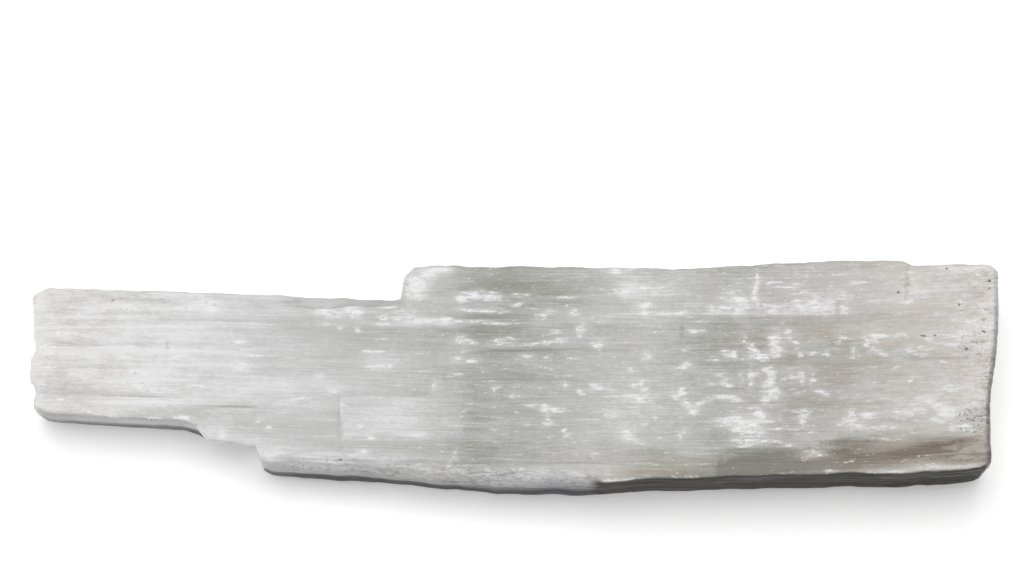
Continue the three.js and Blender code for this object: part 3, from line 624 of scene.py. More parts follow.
@dataclass
class LogForm:
    """The skin of the log as a surface over places along the fibres and around the section."""

    outline: Outline = Outline()
    # the grid: columns along the log, rows over each face, rings over each end
    columns: int = 390
    upper_rows: int = 172
    wall_rows: int = 17
    under_rows: int = 22
    cap_rings: int = 22
    step_places: tuple[float, ...] = (-128.0, -104.0, -46.0, 162.0)
    step_crowding: float = 1.6
    step_reach: float = 3.0
    # how the fibres slope across the log, as (x, dy/dx)
    fibre_lean: tuple = ((-200, -0.027), (-60, -0.022), (20, -0.008), (90, 0), (150, 0.03), (200, 0.055))
    lean_blunt: float = 20.0
    # the slow waves of the upper face: height, length and how far they skew
    swell_height: float = 0.4
    swell_length: float = 190.0
    swell_skew: float = 2.4
    # a layer's splintered ends: reach, size across and seed; and its wandering long sides
    splinters: tuple = ((3.2, 1.4, 31), (4.2, 5.5, 61))
    side_wander: float = 0.8
    side_wander_length: float = 13.0
    # the walls: a millimetre as a share of their height; the worn edge's cut, and the shares of
    # the height where it and the top's own line start, with how far they take; their wander, as
    # reach, length and seed; and how far the corners of their edges in plan are blunted
    wall_unit: float = 0.03
    worn_cut: float = 2.4
    worn_climb: tuple[float, float] = (0.7, 0.3)
    top_climb: tuple[float, float] = (0.5, 0.5)
    front_wander: tuple[float, float, int] = (0.5, 16.0, 7)
    back_wander: tuple[float, float, int] = (0.45, 14.0, 8)
    front_blunt: float = 0.7
    back_blunt: float = 0.6
    profile_blunt: float = 0.05
    # the edges of the upper face: radius and drop, more where worn and less where crisp
    upper_round: float = 2.4
    upper_drop: float = 1.1
    worn_round: float = 3.6
    worn_drop: float = 1.5
    crisp_share: float = 0.55
    crisp_right: tuple[float, float] = (34.0, 5.0)
    crisp_left: tuple[float, float] = (-105.0, -5.0)
    crisp_left_share: float = 0.8
    # the ends: their bevel; their bundles' sizes across and up, depths, treads and riser; how
    # the top of the right end is worn smooth; and how far back, and in what sizes, they snap
    end_round: float = 2.6
    end_bevel: float = 1.1
    end_blunt: float = 0.8
    end_seeds: tuple[int, int] = (11, 12)
    broken_sizes: tuple = ((6.0, 5.0), (2.4, 2.2), (0.95, 0.9))
    broken_depths: tuple[float, float, float] = (0.7, 0.5, 0.3)
    broken_mean: float = 0.25
    broken_treads: tuple[int, float] = (3, 0.35)
    smooth_share: float = 0.7
    smooth_climb: tuple[float, float] = (0.75, 0.15)
    hackle_depth: float = 2.4
    hackle_seed: int = 15
    hackle_sizes: tuple = ((5.5, 3.4), (1.8, 1.4))
    hackle_treads: tuple[int, float] = (4, 0.25)
    hackle_threads: float = 0.2
    # relief by how far the skin faces up, and how high and in what sizes bruises are rough
    relief_by_tilt: tuple = ((-1, 0.15), (-0.5, 0.8), (0, 1.1), (0.6, 0.8), (1, 0.5))
    bruise_height: float = 0.16
    bruise_size: tuple[float, float] = (3.2, 1.2)

    def lean(self, x: np.ndarray) -> np.ndarray:
        """How far the fibres have wandered across the log: the sum of their slope over x.

        Args:
            x: Places along the log.

        Returns:
            How far each place's fibres are from where they start, in y.
        """
        places = np.linspace(-self.outline.half_length, self.outline.half_length, 401)
        slope = follow(self.fibre_lean, places, self.lean_blunt)
        return np.interp(x, places, np.cumsum(slope) * (places[1] - places[0]))

    def column_places(self) -> np.ndarray:
        """Places along the log, evenly spread but closer together at the steps of its edges.

        The density is 1 plus a bell exp(-(d / reach)^2) at each step.

        Returns:
            The columns' places.
        """
        half = self.outline.half_length
        fine = np.linspace(-half, half, 8001)
        density = np.ones_like(fine)
        for step in self.step_places:
            density += self.step_crowding * np.exp(-(((fine - step) / self.step_reach) ** 2))
        travel = np.concatenate([[0.0], np.cumsum((density[1:] + density[:-1]) / 2)])
        return np.interp(np.linspace(0, travel[-1], self.columns), travel, fine)

    def ring(self) -> tuple[np.ndarray, np.ndarray]:
        """The section's ring: which face each point is on, and its share of the way over it.

        Returns:
            Face numbers, and shares: front to back on the broad faces, upwards on the walls.
        """
        rows = (
            (Face.UPPER, np.linspace(0, 1, self.upper_rows, endpoint=False)),
            (Face.BACK, np.linspace(1, 0, self.wall_rows, endpoint=False)),
            (Face.UNDER, np.linspace(1, 0, self.under_rows, endpoint=False)),
            (Face.FRONT, np.linspace(0, 1, self.wall_rows, endpoint=False)),
        )
        faces = np.concatenate([np.full(len(share), face.value) for face, share in rows])
        return faces, np.concatenate([share for _, share in rows])

    def layers(
        self, layers: tuple[Layer, ...], x: np.ndarray, across: np.ndarray, unit: float = 1.0
    ) -> np.ndarray:
        """The rise of all layers at each point, with splintered ends and ragged long sides.

        Args:
            layers: The layers of one face.
            x: Places along the log.
            across: Places across the face, in the layers' own unit.
            unit: How many of that unit make a millimetre.

        Returns:
            The sum of rise times how far the point is within the layer, both ways.
        """
        fibre = across - self.lean(x) * unit
        total = np.zeros(np.broadcast(x, across).shape)
        for number, layer in enumerate(layers):
            splinter = sum(
                reach * noise(x * 0, fibre / (size * unit), PLANE, seed + number)
                for reach, size, seed in self.splinters
            )
            wander = layered_noise(x / self.side_wander_length, fibre * 0, PLANE, 91 + number, 2)
            shown = min(1.0, layer.taper / 3.0)
            along = within(x + shown * splinter, *layer.x, layer.taper)
            side = within(across + self.side_wander * unit * wander, *layer.across, layer.fade * unit)
            total = total + layer.rise * along * side
        return total

    def swell(self, x: np.ndarray, y: np.ndarray) -> np.ndarray:
        """The slow waves of a split face: a sine, and one of twice the length on a slant.

        Args:
            x: Places along the log.
            y: Places across it.

        Returns:
            The waves' height.
        """
        turn = 2.0 * math.pi / self.swell_length
        slant = np.sin(turn / 2.0 * (x + self.swell_skew * y))
        return self.swell_height * (np.sin(turn * x) + slant)

    def upper(self, x: np.ndarray, y: np.ndarray) -> np.ndarray:
        """Height of the upper face before its edges are rounded."""
        height = follow(self.outline.thickness, x) + self.swell(x, y)
        return height + self.layers(UPPER_LAYERS, x, y)

    def under(self, x: np.ndarray, y: np.ndarray) -> np.ndarray:
        """Height of the underside, which is the resting plane but for its split layers."""
        return np.maximum(0.0, self.layers(UNDER_LAYERS, x, y))

    def worn(self, x: np.ndarray) -> np.ndarray:
        """How worn the front edge is, from 0 to 1."""
        return within(x, *self.outline.worn_edge, self.outline.worn_taper)

    def walls(self, x: np.ndarray, share: np.ndarray) -> tuple[np.ndarray, np.ndarray]:
        """The walls: the edge in plan, the wall's profile, its split layers and a slow wander.

        Args:
            x: Places along the log.
            share: Shares of the walls' height.

        Returns:
            The y of the front wall and of the back wall.
        """
        plan = self.outline
        wander, back_wander = (
            reach * layered_noise(x / length, PLANE, PLANE, seed, 3)
            for reach, length, seed in (self.front_wander, self.back_wander)
        )
        front = follow(plan.front_edge, x, self.front_blunt)
        front = front + follow(plan.front_wall, share, self.profile_blunt)
        front = front + self.worn_cut * self.worn(x) * climb(share, *self.worn_climb)
        front = front + np.maximum(0, self.layers(FRONT_LAYERS, x, share, self.wall_unit)) + wander
        front = front + follow(plan.front_top, x, 1.0) * climb(share, *self.top_climb)
        back = follow(plan.back_edge, x, self.back_blunt)
        back = back - follow(plan.back_wall, share, self.profile_blunt)
        back = back - np.maximum(0, self.layers(BACK_LAYERS, x, share, self.wall_unit))
        return front, back + back_wander

    def rounding(self, x: np.ndarray, from_front: np.ndarray, from_back: np.ndarray) -> np.ndarray:
        """How far the upper face has dropped at a distance from its edges: h (1 - d/r)^2.

        Args:
            x: Places along the log.
            from_front: Distances from the front edge.
            from_back: Distances from the back edge.

        Returns:
            The drop from both edges together.
        """
        worn = self.worn(x)
        crisp_left = self.crisp_left_share * climb(x, *self.crisp_left)
        crisp = np.maximum(climb(x, *self.crisp_right), crisp_left)
        kept = 1.0 - self.crisp_share * crisp
        radius = self.upper_round * kept + self.worn_round * worn
        depth = self.upper_drop * kept + self.worn_drop * worn
        front = depth * np.clip(1 - from_front / radius, 0, 1) ** 2
        back = self.upper_drop * np.clip(1 - from_back / self.upper_round, 0, 1) ** 2
        return front + back

    def end_inset(self, x: np.ndarray, y: np.ndarray, z: np.ndarray) -> np.ndarray:
        """How far a point moves in from the nominal ends, whose faces are broken bundles.

        Each end's inset fades to nothing over its reach. The top of the right end is worn.

        Args:
            x: Places along the log.
            y: Places across it.
            z: Heights.

        Returns:
            The move along X.
        """
        plan = self.outline
        left_seed, right_seed = self.end_seeds
        left = follow(plan.left_end, y, self.end_blunt) + self.broken(y, z, left_seed)
        kept = 1.0 - self.smooth_share * climb(z / self.upper(x, y), *self.smooth_climb)
        right = follow(plan.right_end, y, plan.right_blunt) + self.broken(y, z, right_seed) * kept
        left_share = climb(x, plan.left_reach - plan.half_length, -plan.left_reach)
        right_share = climb(x, plan.half_length - plan.right_reach, plan.right_reach)
        return left * left_share - right * right_share

    def broken(self, y: np.ndarray, z: np.ndarray, seed: int) -> np.ndarray:
        """The depth of a broken end: terraces of bundles, with smaller ones and threads on them.

        Args:
            y: Places across the log.
            z: Heights.
            seed: The end's seed.

        Returns:
            The depth at each place.
        """
        bundles, strands, threads = (
            noise(y / across, z / up, END_PLANE, seed + 20 * number)
            for number, (across, up) in enumerate(self.broken_sizes)
        )
        bundles = terraces(bundles, *self.broken_treads) / self.broken_treads[0]
        levels = zip(self.broken_depths, (bundles, strands, threads))
        return self.broken_mean + sum(depth * level for depth, level in levels)

    def hackle(self, y: np.ndarray, z: np.ndarray) -> np.ndarray:
        """How far back the bundles of a broken end have snapped: terraces, and threads on them.

        Args:
            y: Places across the log.
            z: Heights.

        Returns:
            Shares from 0 to 1.
        """
        bundles, threads = (
            noise(y / across, z / up, END_PLANE, self.hackle_seed + 3 * number)
            for number, (across, up) in enumerate(self.hackle_sizes)
        )
        bundles = terraces(bundles, *self.hackle_treads) / self.hackle_treads[0]
        return np.clip(bundles + self.hackle_threads * threads, 0.0, 1.0)

    def skin(self) -> np.ndarray:
        """The skin before its fine relief.

        Returns:
            Points as an array of columns by ring by 3.
        """
        x = self.column_places()[:, None]
        faces, share = self.ring()
        faces, share = faces[None, :], share[None, :]
        broad = [faces == Face.UPPER.value, faces == Face.UNDER.value]
        height_share = np.select(broad, [1.0, 0.0], share)
        front, back = self.walls(x, height_share)
        sides = [faces == Face.FRONT.value, faces == Face.BACK.value]
        y = front + (back - front) * np.select(sides, [0.0, 1.0], share)
        top = self.upper(x, y) - self.rounding(x, y - front, back - y)
        bottom = self.under(x, y)
        z = bottom + (top - bottom) * height_share
        return np.stack(np.broadcast_arrays(x, y, z), axis=-1).astype(float)

    def outward(self, points: np.ndarray) -> np.ndarray:
        """Unit normals of the skin: the cross product of its two ways, turned outwards.

        Args:
            points: The skin.

        Returns:
            One normal a point.
        """
        along = np.gradient(points, axis=0)
        around = np.roll(points, -1, axis=1) - np.roll(points, 1, axis=1)
        normal = np.cross(along, around)
        return normal / np.maximum(np.linalg.norm(normal, axis=-1, keepdims=True), 1e-9)

    def relief(self, points: np.ndarray, tilt: np.ndarray) -> np.ndarray:
        """The fibre's own relief, which runs along it, and the crushed fibre of the bruises.

        Args:
            points: The skin.
            tilt: How far each point faces up or down, from -1 to 1.

        Returns:
            How far each point moves out.
        """
        x, y, z = points[..., 0], points[..., 1], points[..., 2]
        fibre = y - self.lean(x)
        ripples = sum(ripple.rise(x, fibre, z) for ripple in RELIEF)
        crushed = np.clip(strongest(BRUISES, *ragged(x, y)), 0, 1) * np.clip(tilt, 0, 1)
        along, across = self.bruise_size
        rough = 1.0 + layered_noise(x / along, fibre / across, z / across, 105, 2)
        return ripples * follow(self.relief_by_tilt, tilt) + self.bruise_height * crushed * rough

    def points(self) -> np.ndarray:
        """The finished skin: relief added, and its ends bevelled and broken.

        Returns:
            Points as an array of columns by ring by 3.
        """
        skin = self.skin()
        normal = self.outward(skin)
        half = self.outline.half_length
        place = skin[:, 0, 0]
        to_end = np.minimum(place + half, half - place)[:, None]
        bevel = self.end_bevel * np.clip(1 - to_end / self.end_round, 0, 1) ** 2
        move = self.relief(skin, normal[..., 2]) - bevel
        skin = skin + normal * np.stack([0 * move, move, move], axis=-1)
        skin[..., 0] += self.end_inset(skin[..., 0], skin[..., 1], skin[..., 2])
        return skin

    def cap(self, rim: np.ndarray, sign: float) -> np.ndarray:
        """Rings that fill one end: the rim drawn in to its middle, on the broken end's face.

        Args:
            rim: The last ring of the skin.
            sign: -1 for the left end, 1 for the right.

        Returns:
            Points as an array of rings by ring by 3, the last ring being one point.
        """
        middle = rim.mean(axis=0)
        share = np.linspace(0, 1, self.cap_rings + 1)[1:, None, None]
        rings = rim[None] + (middle - rim)[None] * share
        nominal = np.full(rings.shape[:2], sign * self.outline.half_length)
        face = nominal + self.end_inset(nominal, rings[..., 1], rings[..., 2])
        snapped = self.hackle_depth * self.hackle(rings[..., 1], rings[..., 2])
        face = face - sign * snapped * ease(share[..., 0] * 3.0)
        rings[..., 0] = rim[None, :, 0] + (face - rim[None, :, 0]) * ease(share[..., 0] * 8.0)
        rings[-1] = rings[-1].mean(axis=0)
        return rings


# ------------------------------------------------------------------ the mesh


@dataclass
class LogMesh:
    """Turns the form into one closed Blender mesh with its colour fields as attributes."""

    form: LogForm
    name: str = "selenite_log_fibre"

    def build(self) -> bpy.types.Object:
        """Writes the skin and both ends as one mesh, and gives it its fields.

        Returns:
            The log's object, at the origin, in metres.
        """
        skin = self.form.points()
        columns, around, _ = skin.shape
        left = self.form.cap(skin[0], -1.0)
        right = self.form.cap(skin[-1], 1.0)
        rows = np.concatenate([left[-2::-1], skin, right[:-1]])
        vertices = np.concatenate([left[-1, :1], rows.reshape(-1, 3), right[-1, :1]])
        vertices = self.fit(vertices)
        faces = self.faces(len(rows), around)
        mesh = bpy.data.meshes.new(self.name)
        mesh.from_pydata(vertices * MM, [], faces)
        mesh.validate()
        mesh.update()
        mesh.shade_smooth()
        log = bpy.data.objects.new(self.name, mesh)
        bpy.context.scene.collection.objects.link(log)
        FieldPainter(self.form).paint(mesh, vertices)
        LOG.info("%s: %d columns, %d around, %d vertices", self.name, columns, around, len(vertices))
        return log

    def fit(self, vertices: np.ndarray) -> np.ndarray:
        """Moves and stretches the points by well under a hundredth to fill the CAD node's box.

        Args:
            vertices: The points.

        Returns:
            The points in place.
        """
        low, high = (np.array(corner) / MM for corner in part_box("selenite_log"))
        mine_low, mine_high = vertices.min(axis=0), vertices.max(axis=0)
        LOG.info("skin box %s to %s", np.round(mine_low, 2), np.round(mine_high, 2))
        return low + (vertices - mine_low) * (high - low) / (mine_high - mine_low)

    def faces(self, rows: int, around: int) -> list:
        """Quads between neighbouring rows, and a fan of triangles at each end's middle.

        Args:
            rows: Rows of the skin and both ends together.
            around: Points in a row.

        Returns:
            Corner numbers of every face, facing out.
        """
        row, step = np.meshgrid(np.arange(rows - 1), np.arange(around), indexing="ij")
        following = (step + 1) % around
        first = 1 + row * around
        corners = [first + step, first + around + step, first + around + following, first + following]
        quads = np.stack(corners, axis=-1).reshape(-1, 4)
        step = np.arange(around)
        following = (step + 1) % around
        last = 1 + (rows - 1) * around
        start_fan = np.stack([np.zeros(around, int), 1 + step, 1 + following], axis=-1)
        end_fan = np.stack([np.full(around, 1 + rows * around), last + following, last + step], axis=-1)
        return start_fan.tolist() + quads.tolist() + end_fan.tolist()


@dataclass(frozen=True)
class Spots:
    """Where the skin's points are, in millimetres, and which way they face, from 0 to 1."""

    x: np.ndarray
    y: np.ndarray
    z: np.ndarray
    up: np.ndarray
    end: np.ndarray
    front: np.ndarray
    back: np.ndarray
    from_front: np.ndarray
    height: np.ndarray
    bruised: np.ndarray


@dataclass
class FieldPainter:
    """Works out, point by point, how bruised, clear and stained the fibre is, and where shade is painted
    on it.

    The tables give each field along the log as (place, value).
    """

    form: LogForm
    # sound fibre: how clear it is, how warm its grey, and how strongly it is striped
    clear_along: tuple = (
        (-200, 0.34), (-160, 0.20), (-140, 0.20), (-118, 0.27), (-95, 0.34), (-75, 0.43), (-50, 0.53),
        (-30, 0.60), (-8, 0.85), (15, 0.76), (40, 0.58), (65, 0.60), (85, 0.76), (110, 0.8), (130, 0.79),
        (150, 0.68), (172, 0.57), (200, 0.52),
    )
    warm_along: tuple = (
        (-200, 0.32), (-155, 0.1), (-120, 0.0), (-60, 0.0), (60, 0.05), (110, 0.15), (150, 0.45),
        (200, 0.7),
    )
    stripes_along: tuple = (
        (-200, 0.9), (-140, 0.8), (-118, 0.6), (-90, 0.5), (-60, 0.5), (-40, 0.7), (-25, 0.8), (0, 0.7),
        (30, 0.8), (60, 0.95), (140, 0.95), (165, 0.75), (200, 0.65),
    )
    # scattered bruises, the white line on the front lip, and the crumbs and flecks in the white
    bruise_along: tuple = (
        (-200, 0.24), (-140, 0.15), (-110, 0.06), (-70, 0.04), (-40, 0.16), (-10, 0.14), (40, 0.16),
        (90, 0.22), (160, 0.22), (180, 0.32), (200, 0.42),
    )
    lip_along: tuple = (
        (-200, 0.5), (-170, 0.7), (-135, 0.8), (-125, 0.3), (-100, 0.2), (32, 0.3), (37, 0.95), (49, 0.8),
        (55, 0.2), (110, 0.2), (150, 0.25), (200, 0.25),
    )
    crumb_along: tuple = ((-104, 0.8), (-60, 0.72), (-20, 0.8), (10, 1.0), (40, 1.0))
    fleck_along: tuple = (
        (-200, 0.85), (-130, 0.85), (-90, 0.95), (-45, 0.9), (-20, 0.5), (60, 0.5), (90, 0.7), (200, 0.7),
    )
    # the front wall's painted shade low down and high up, and the share of its height between them
    dusk_low: tuple = ((-200, 0.85), (-135, 0.87), (-125, 0.95), (-104, 0.92), (0, 1.0), (200, 1.0))
    dusk_high: tuple = (
        (-200, 0.25), (-135, 0.25), (-130, 0.04), (-106, 0.04), (-102, 0.22), (0, 0.27), (31, 0.3),
        (34, 0.93), (200, 0.93),
    )
    dusk_turn: tuple = ((-200, 0.37), (-104, 0.33), (-20, 0.4), (20, 0.53), (200, 0.6))
    # the painted shade on the right end's rim, across the log
    rim_shade_across: tuple = ((-46, 0.5), (-20, 0.62), (10, 0.6), (25, 0.42), (42, 0.15))
    # how far the corners of most tables are blunted, and of the sharper ones
    blunt: float = 10.0
    wide_blunt: float = 15.0
    stripes_blunt: float = 6.0
    crumb_blunt: float = 5.0
    low_blunt: float = 3.0
    lip_blunt: float = 2.0
    high_blunt: float = 0.8
    # each direction that counts: from which share of a normal, and how fast it takes over
    faces_up: tuple[float, float] = (0.1, 0.4)
    faces_along: tuple[float, float] = (0.45, 0.35)
    faces_front: tuple[float, float] = (0.35, 0.4)
    faces_back: tuple[float, float] = (0.5, 0.35)
    # a crust of crushed fibre by both ends: its width, its fade, how milky and how crushed it is
    crust_width: float = 3.0
    crust_fade: float = 4.0
    crust_milk: float = 0.3
    crust_bruise: float = 0.25
    # the broken ends: milky and crushed, but less so where bundles have snapped far back, as painted
    # shade in those recesses; and their stain there, left and right: clay stain and painted shade, more
    # on the right end
    end_milk: float = 0.6
    end_bruise: float = 0.65
    snapped_painted_shade: float = 0.5
    end_stains_and_shade: tuple[float, float] = (0.3, 0.7)
    # how much the bruises cloud the fibre about them, at most, and how wide
    haze: float = 0.24
    haze_most: float = 1.3
    haze_spread: float = 2.2
    # how much stained and clear fibre keeps the scattered bruises off, at most
    stain_sound: float = 0.5
    clear_sound: float = 0.4
    sound_most: float = 0.5
    # the white line on the lip: its place, width, mean strength, and how far that varies
    lip_place: float = 0.4
    lip_width: float = 0.9
    lip_mean: float = 0.8
    lip_breaks: float = 0.7
    lip_break_length: float = 5.0
    # the worn front edge: where it starts up the wall, how far in it reaches, and its breaks
    edge_climb: tuple[float, float] = (0.66, 0.14)
    edge_reach: float = 3.4
    edge_breaks: float = 0.3
    edge_break_length: float = 9.0
    # the front wall's painted shade turns over this share of its height; the back wall's is even
    dusk_climb: float = 0.45
    back_dusk: float = 0.25
    # the painted shade on the right end's rim: its width, its fade, and where it starts up the wall
    rim_shade_width: float = 1.5
    rim_shade_fade: float = 0.9
    rim_shade_climb: tuple[float, float] = (0.85, 0.1)
    # crumbs by the right end, fewer at its back
    crumbs_right: tuple[float, float] = (172.0, 20.0)
    crumbs_back: tuple[float, float] = (25.0, 10.0)
    crumbs_back_share: float = 0.5
    # where the walls' painted shade, and the crumbs, turn from plum to brown, and back again at the right
    # end
    brown_from: tuple[float, float] = (28.0, 8.0)
    brown_to: tuple[float, float] = (191.0, 3.0)

    def paint(self, mesh: bpy.types.Mesh, points: np.ndarray) -> None:
        """Writes the fields to the mesh as attributes, one number a point.

        Args:
            mesh: The log's mesh.
            points: Its points, in millimetres.
        """
        normals = np.zeros(len(points) * 3, np.float32)
        mesh.vertices.foreach_get("normal", normals)
        spots = self.survey(points, normals.reshape(-1, 3))
        for name, values in self.fields(spots).items():
            layer = mesh.attributes.new(name, "FLOAT", "POINT")
            layer.data.foreach_set("value", np.clip(values, -0.5, 1.6).astype(np.float32))
        fibre = np.stack([spots.x, spots.y - self.form.lean(spots.x), spots.z], axis=-1) * MM
        layer = mesh.attributes.new("fibre", "FLOAT_VECTOR", "POINT")
        layer.data.foreach_set("vector", fibre.astype(np.float32).ravel())

    def survey(self, points: np.ndarray, normals: np.ndarray) -> Spots:
        """Works out what the fields need to know of every point.

        Args:
            points: The points, in millimetres.
            normals: Their normals.

        Returns:
            The points' places, which way they face and how crushed they are.
        """
        (x, y, z), (along, across, upward) = points.T, normals.T
        end = climb(np.abs(along), *self.faces_along)
        up = climb(upward, *self.faces_up)
        return Spots(
            x, y, z, up, end,
            front=climb(-across, *self.faces_front) * (1.0 - end),
            back=climb(across, *self.faces_back) * (1.0 - end),
            from_front=y - self.form.walls(x, np.ones_like(x))[0],
            height=np.clip(z / self.form.upper(x, y), 0.0, 1.0),
            bruised=up * strongest(BRUISES, *ragged(x, y)),
        )

    def fields(self, spots: Spots) -> dict[str, np.ndarray]:
        """Works out every field.

        Args:
            spots: The points.

        Returns:
            The fields by name.
        """
        x, y, up = spots.x, spots.y, spots.up
        # painted shade in the broken ends' recesses, laid on as clay stain: deeper where bundles snapped
        # far back, and more on the right end, whose face is painted darker as if in shade
        end_stain_and_shade = spots.end * self.snapped(spots) * np.where(x > 0, *self.end_stains_and_shade[::-1])
        # where the painted shade, and the crumbs, take the brown colour rather than the plum one
        brown = climb(x, *self.brown_from) * (1.0 - climb(x, *self.brown_to))
        return {
            "clear": self.clear(spots),
            "bruise": self.bruise(spots),
            "stain_and_end_shade": up * summed(STAINS, x, y) + end_stain_and_shade,
            "warm": follow(self.warm_along, x, self.wide_blunt) + up * summed(WARMTHS, x, y),
            # painted shade on the walls and the right end's rim
            "dusk": self.dusk(spots),
            "grit": up * strongest(GRIT, x, y),
            "crumb": self.crumb(spots),
            "cool": 1.0 - brown,
            "stripes": follow(self.stripes_along, x, self.stripes_blunt) - up * summed(PLAIN_FIBRE, x, y),
        }

    def snapped(self, spots: Spots) -> np.ndarray:
        """How far back the bundles have snapped on the broken ends."""
        return self.form.hackle(spots.y, spots.z)

    def crust(self, spots: Spots) -> np.ndarray:
        """Crushed fibre by the ends: 1 over its width, then falling as exp(-d / fade)."""
        inward = self.form.outline.half_length - np.abs(spots.x)
        return np.exp(-np.clip(inward - self.crust_width, 0, None) / self.crust_fade)

    def clear(self, spots: Spots) -> np.ndarray:
        """How clear the fibre is: the table, plus clear marks and blocks, less milk and haze.

        Args:
            spots: The points.

        Returns:
            About 0 for milk, 0.5 for grey and 1 for clear.
        """
        x, y, up = spots.x, spots.y, spots.up
        clear = follow(self.clear_along, x, self.blunt) + up * summed(CLEARINGS, x, y)
        clear = clear - up * summed(MILKS, x, y) + up * self.form.layers(TONES, x, y)
        haze = np.clip(summed(BRUISES, *ragged(x, y), self.haze_spread), 0.0, self.haze_most)
        clear = clear - self.haze * up * haze - self.crust_milk * self.crust(spots)
        # less milk where bundles have snapped far back on the ends: painted shade in those recesses
        return clear + spots.end * (self.snapped_painted_shade * self.snapped(spots) - self.end_milk)

    def bruise(self, spots: Spots) -> np.ndarray:
        """How crushed the fibre is: the strongest of the scatter, marks, lip and worn edge.

        The lip is a bell exp(-((d - place) / width)^2) on the distance from the front edge.

        Args:
            spots: The points.

        Returns:
            0 for sound fibre and 1 for wholly crushed.
        """
        x, y, up = spots.x, spots.y, spots.up
        sound = self.stain_sound * summed(STAINS, x, y) + self.clear_sound * summed(CLEARINGS, x, y)
        scatter = follow(self.bruise_along, x, self.blunt) - up * np.clip(sound, 0.0, self.sound_most)
        lip = up * np.exp(-(((spots.from_front - self.lip_place) / self.lip_width) ** 2))
        lip = lip * follow(self.lip_along, x, self.lip_blunt)
        breaks = noise(x / self.lip_break_length, PLANE, PLANE, 203)
        lip = lip * (self.lip_mean + self.lip_breaks * breaks)
        bruise = np.maximum(np.maximum(scatter, spots.bruised), lip)
        bruise = bruise + self.crust_bruise * self.crust(spots) * up
        # less crushed where bundles have snapped far back on the ends: painted shade in those recesses
        bruise = bruise + spots.end * (self.end_bruise - self.snapped_painted_shade * self.snapped(spots))
        breaks = 1.0 + self.edge_breaks * noise(x / self.edge_break_length, PLANE, PLANE, 204)
        edge = self.worn_edge(spots) * follow(self.crumb_along, x, self.crumb_blunt) * breaks
        return np.maximum(bruise, edge)

    def worn_edge(self, spots: Spots) -> np.ndarray:
        """How far a point is in the worn front edge: high on it, and exp(-(d / reach)^2) inwards."""
        inward = np.exp(-((np.clip(spots.from_front, 0.0, None) / self.edge_reach) ** 2))
        return self.form.worn(spots.x) * climb(spots.height, *self.edge_climb) * inward

    def dusk(self, spots: Spots) -> np.ndarray:
        """How much shade is painted on a wall: the front's two tables blended by height, the back, and
        the rim.

        The painted shade on the rim is 1 over its width from the right end's face, then exp(-(d /
        fade)^2).

        Args:
            spots: The points.

        Returns:
            0 for as pale as the top, 1 for wholly dark.
        """
        x, y, outline = spots.x, spots.y, self.form.outline
        # painted shade on the front wall, darker low down than high up
        low = follow(self.dusk_low, x, self.low_blunt)
        high = follow(self.dusk_high, x, self.high_blunt)
        wall = low + (high - low) * climb(spots.height, follow(self.dusk_turn, x), self.dusk_climb)
        # the back wall takes an even, lighter painted shade
        wall = np.maximum(spots.front * wall, self.back_dusk * spots.back)
        # painted shade on the right end's rim, where its face turns from the light
        inward = outline.half_length - follow(outline.right_end, y, outline.right_blunt) - x
        rim = np.exp(-((np.clip(inward - self.rim_shade_width, 0.0, None) / self.rim_shade_fade) ** 2))
        rim = rim * follow(self.rim_shade_across, y, self.lip_blunt)
        return np.maximum(wall, rim * climb(spots.height, *self.rim_shade_climb))

    def crumb(self, spots: Spots) -> np.ndarray:
        """How many dark crumbs lie in the white: on the worn edge, the right end and bruises.

        Args:
            spots: The points.

        Returns:
            0 for none, 1 for many.
        """
        back = self.crumbs_back_share * climb(spots.y, *self.crumbs_back)
        right = spots.up * climb(spots.x, *self.crumbs_right) * (1.0 - back)
        bruised = spots.bruised * follow(self.fleck_along, spots.x, self.blunt)
        return np.maximum(np.maximum(self.worn_edge(spots), right), bruised)


# ------------------------------------------------------------------ finishes


def linear(hex_colour: str) -> tuple[float, float, float, float]:
    """Turns an sRGB colour to linear light by the standard's own curve.

    Args:
        hex_colour: The colour, such as #c8c6bf.

    Returns:
        Linear red, green and blue, and alpha 1.
    """
    parts = [int(hex_colour[i : i + 2], 16) / 255.0 for i in (1, 3, 5)]
    flat = [p / 12.92 if p <= 0.04045 else ((p + 0.055) / 1.055) ** 2.4 for p in parts]
    return (flat[0], flat[1], flat[2], 1.0)


Socket = bpy.types.NodeSocket
DIFFERENCE = {"operation": "SUBTRACT"}
PRODUCT = {"operation": "MULTIPLY"}
PRODUCT_SUM = {"operation": "MULTIPLY_ADD"}
LARGER = {"operation": "MAXIMUM"}
SMOOTH_STEP = {"interpolation_type": "SMOOTHSTEP", "clamp": True}
COLOURS = {"data_type": "RGBA", "clamp_factor": True}


@dataclass
class Nodes:
    """Adds nodes to one material."""

    tree: bpy.types.NodeTree

    def add(
        self, kind: str, settings: dict | None = None, out: int | str = 0, **sockets: object
    ) -> Socket | bpy.types.Node:
        """Adds a node with its settings, values and links.

        Args:
            kind: The node's type, without the ShaderNode in front.
            settings: The node's own properties.
            out: The number or name of the output that is wanted.
            **sockets: Input values or the outputs to link to them; s0 is the first input.

        Returns:
            The wanted output, or the node itself where it has none.
        """
        node = self.tree.nodes.new("ShaderNode" + kind)
        for name, value in (settings or {}).items():
            setattr(node, name, value)
        for name, value in sockets.items():
            numbered = name[0] == "s" and name[1:].isdigit()
            socket = node.inputs[int(name[1:])] if numbered else node.inputs[name.replace("_", " ")]
            if isinstance(value, Socket):
                self.tree.links.new(value, socket)
            else:
                socket.default_value = value
        return node.outputs[out] if len(node.outputs) else node


@dataclass(frozen=True)
class Streak:
    """Noise stretched along the fibres.

    Its size along and across them in millimetres, its finer octaves, and an offset that sets it
    apart from the others. Real fibres are some tenths of a millimetre thick, so the finest here
    are as coarse as they need to be to show.
    """

    along: float
    across: float
    octaves: float
    offset: float


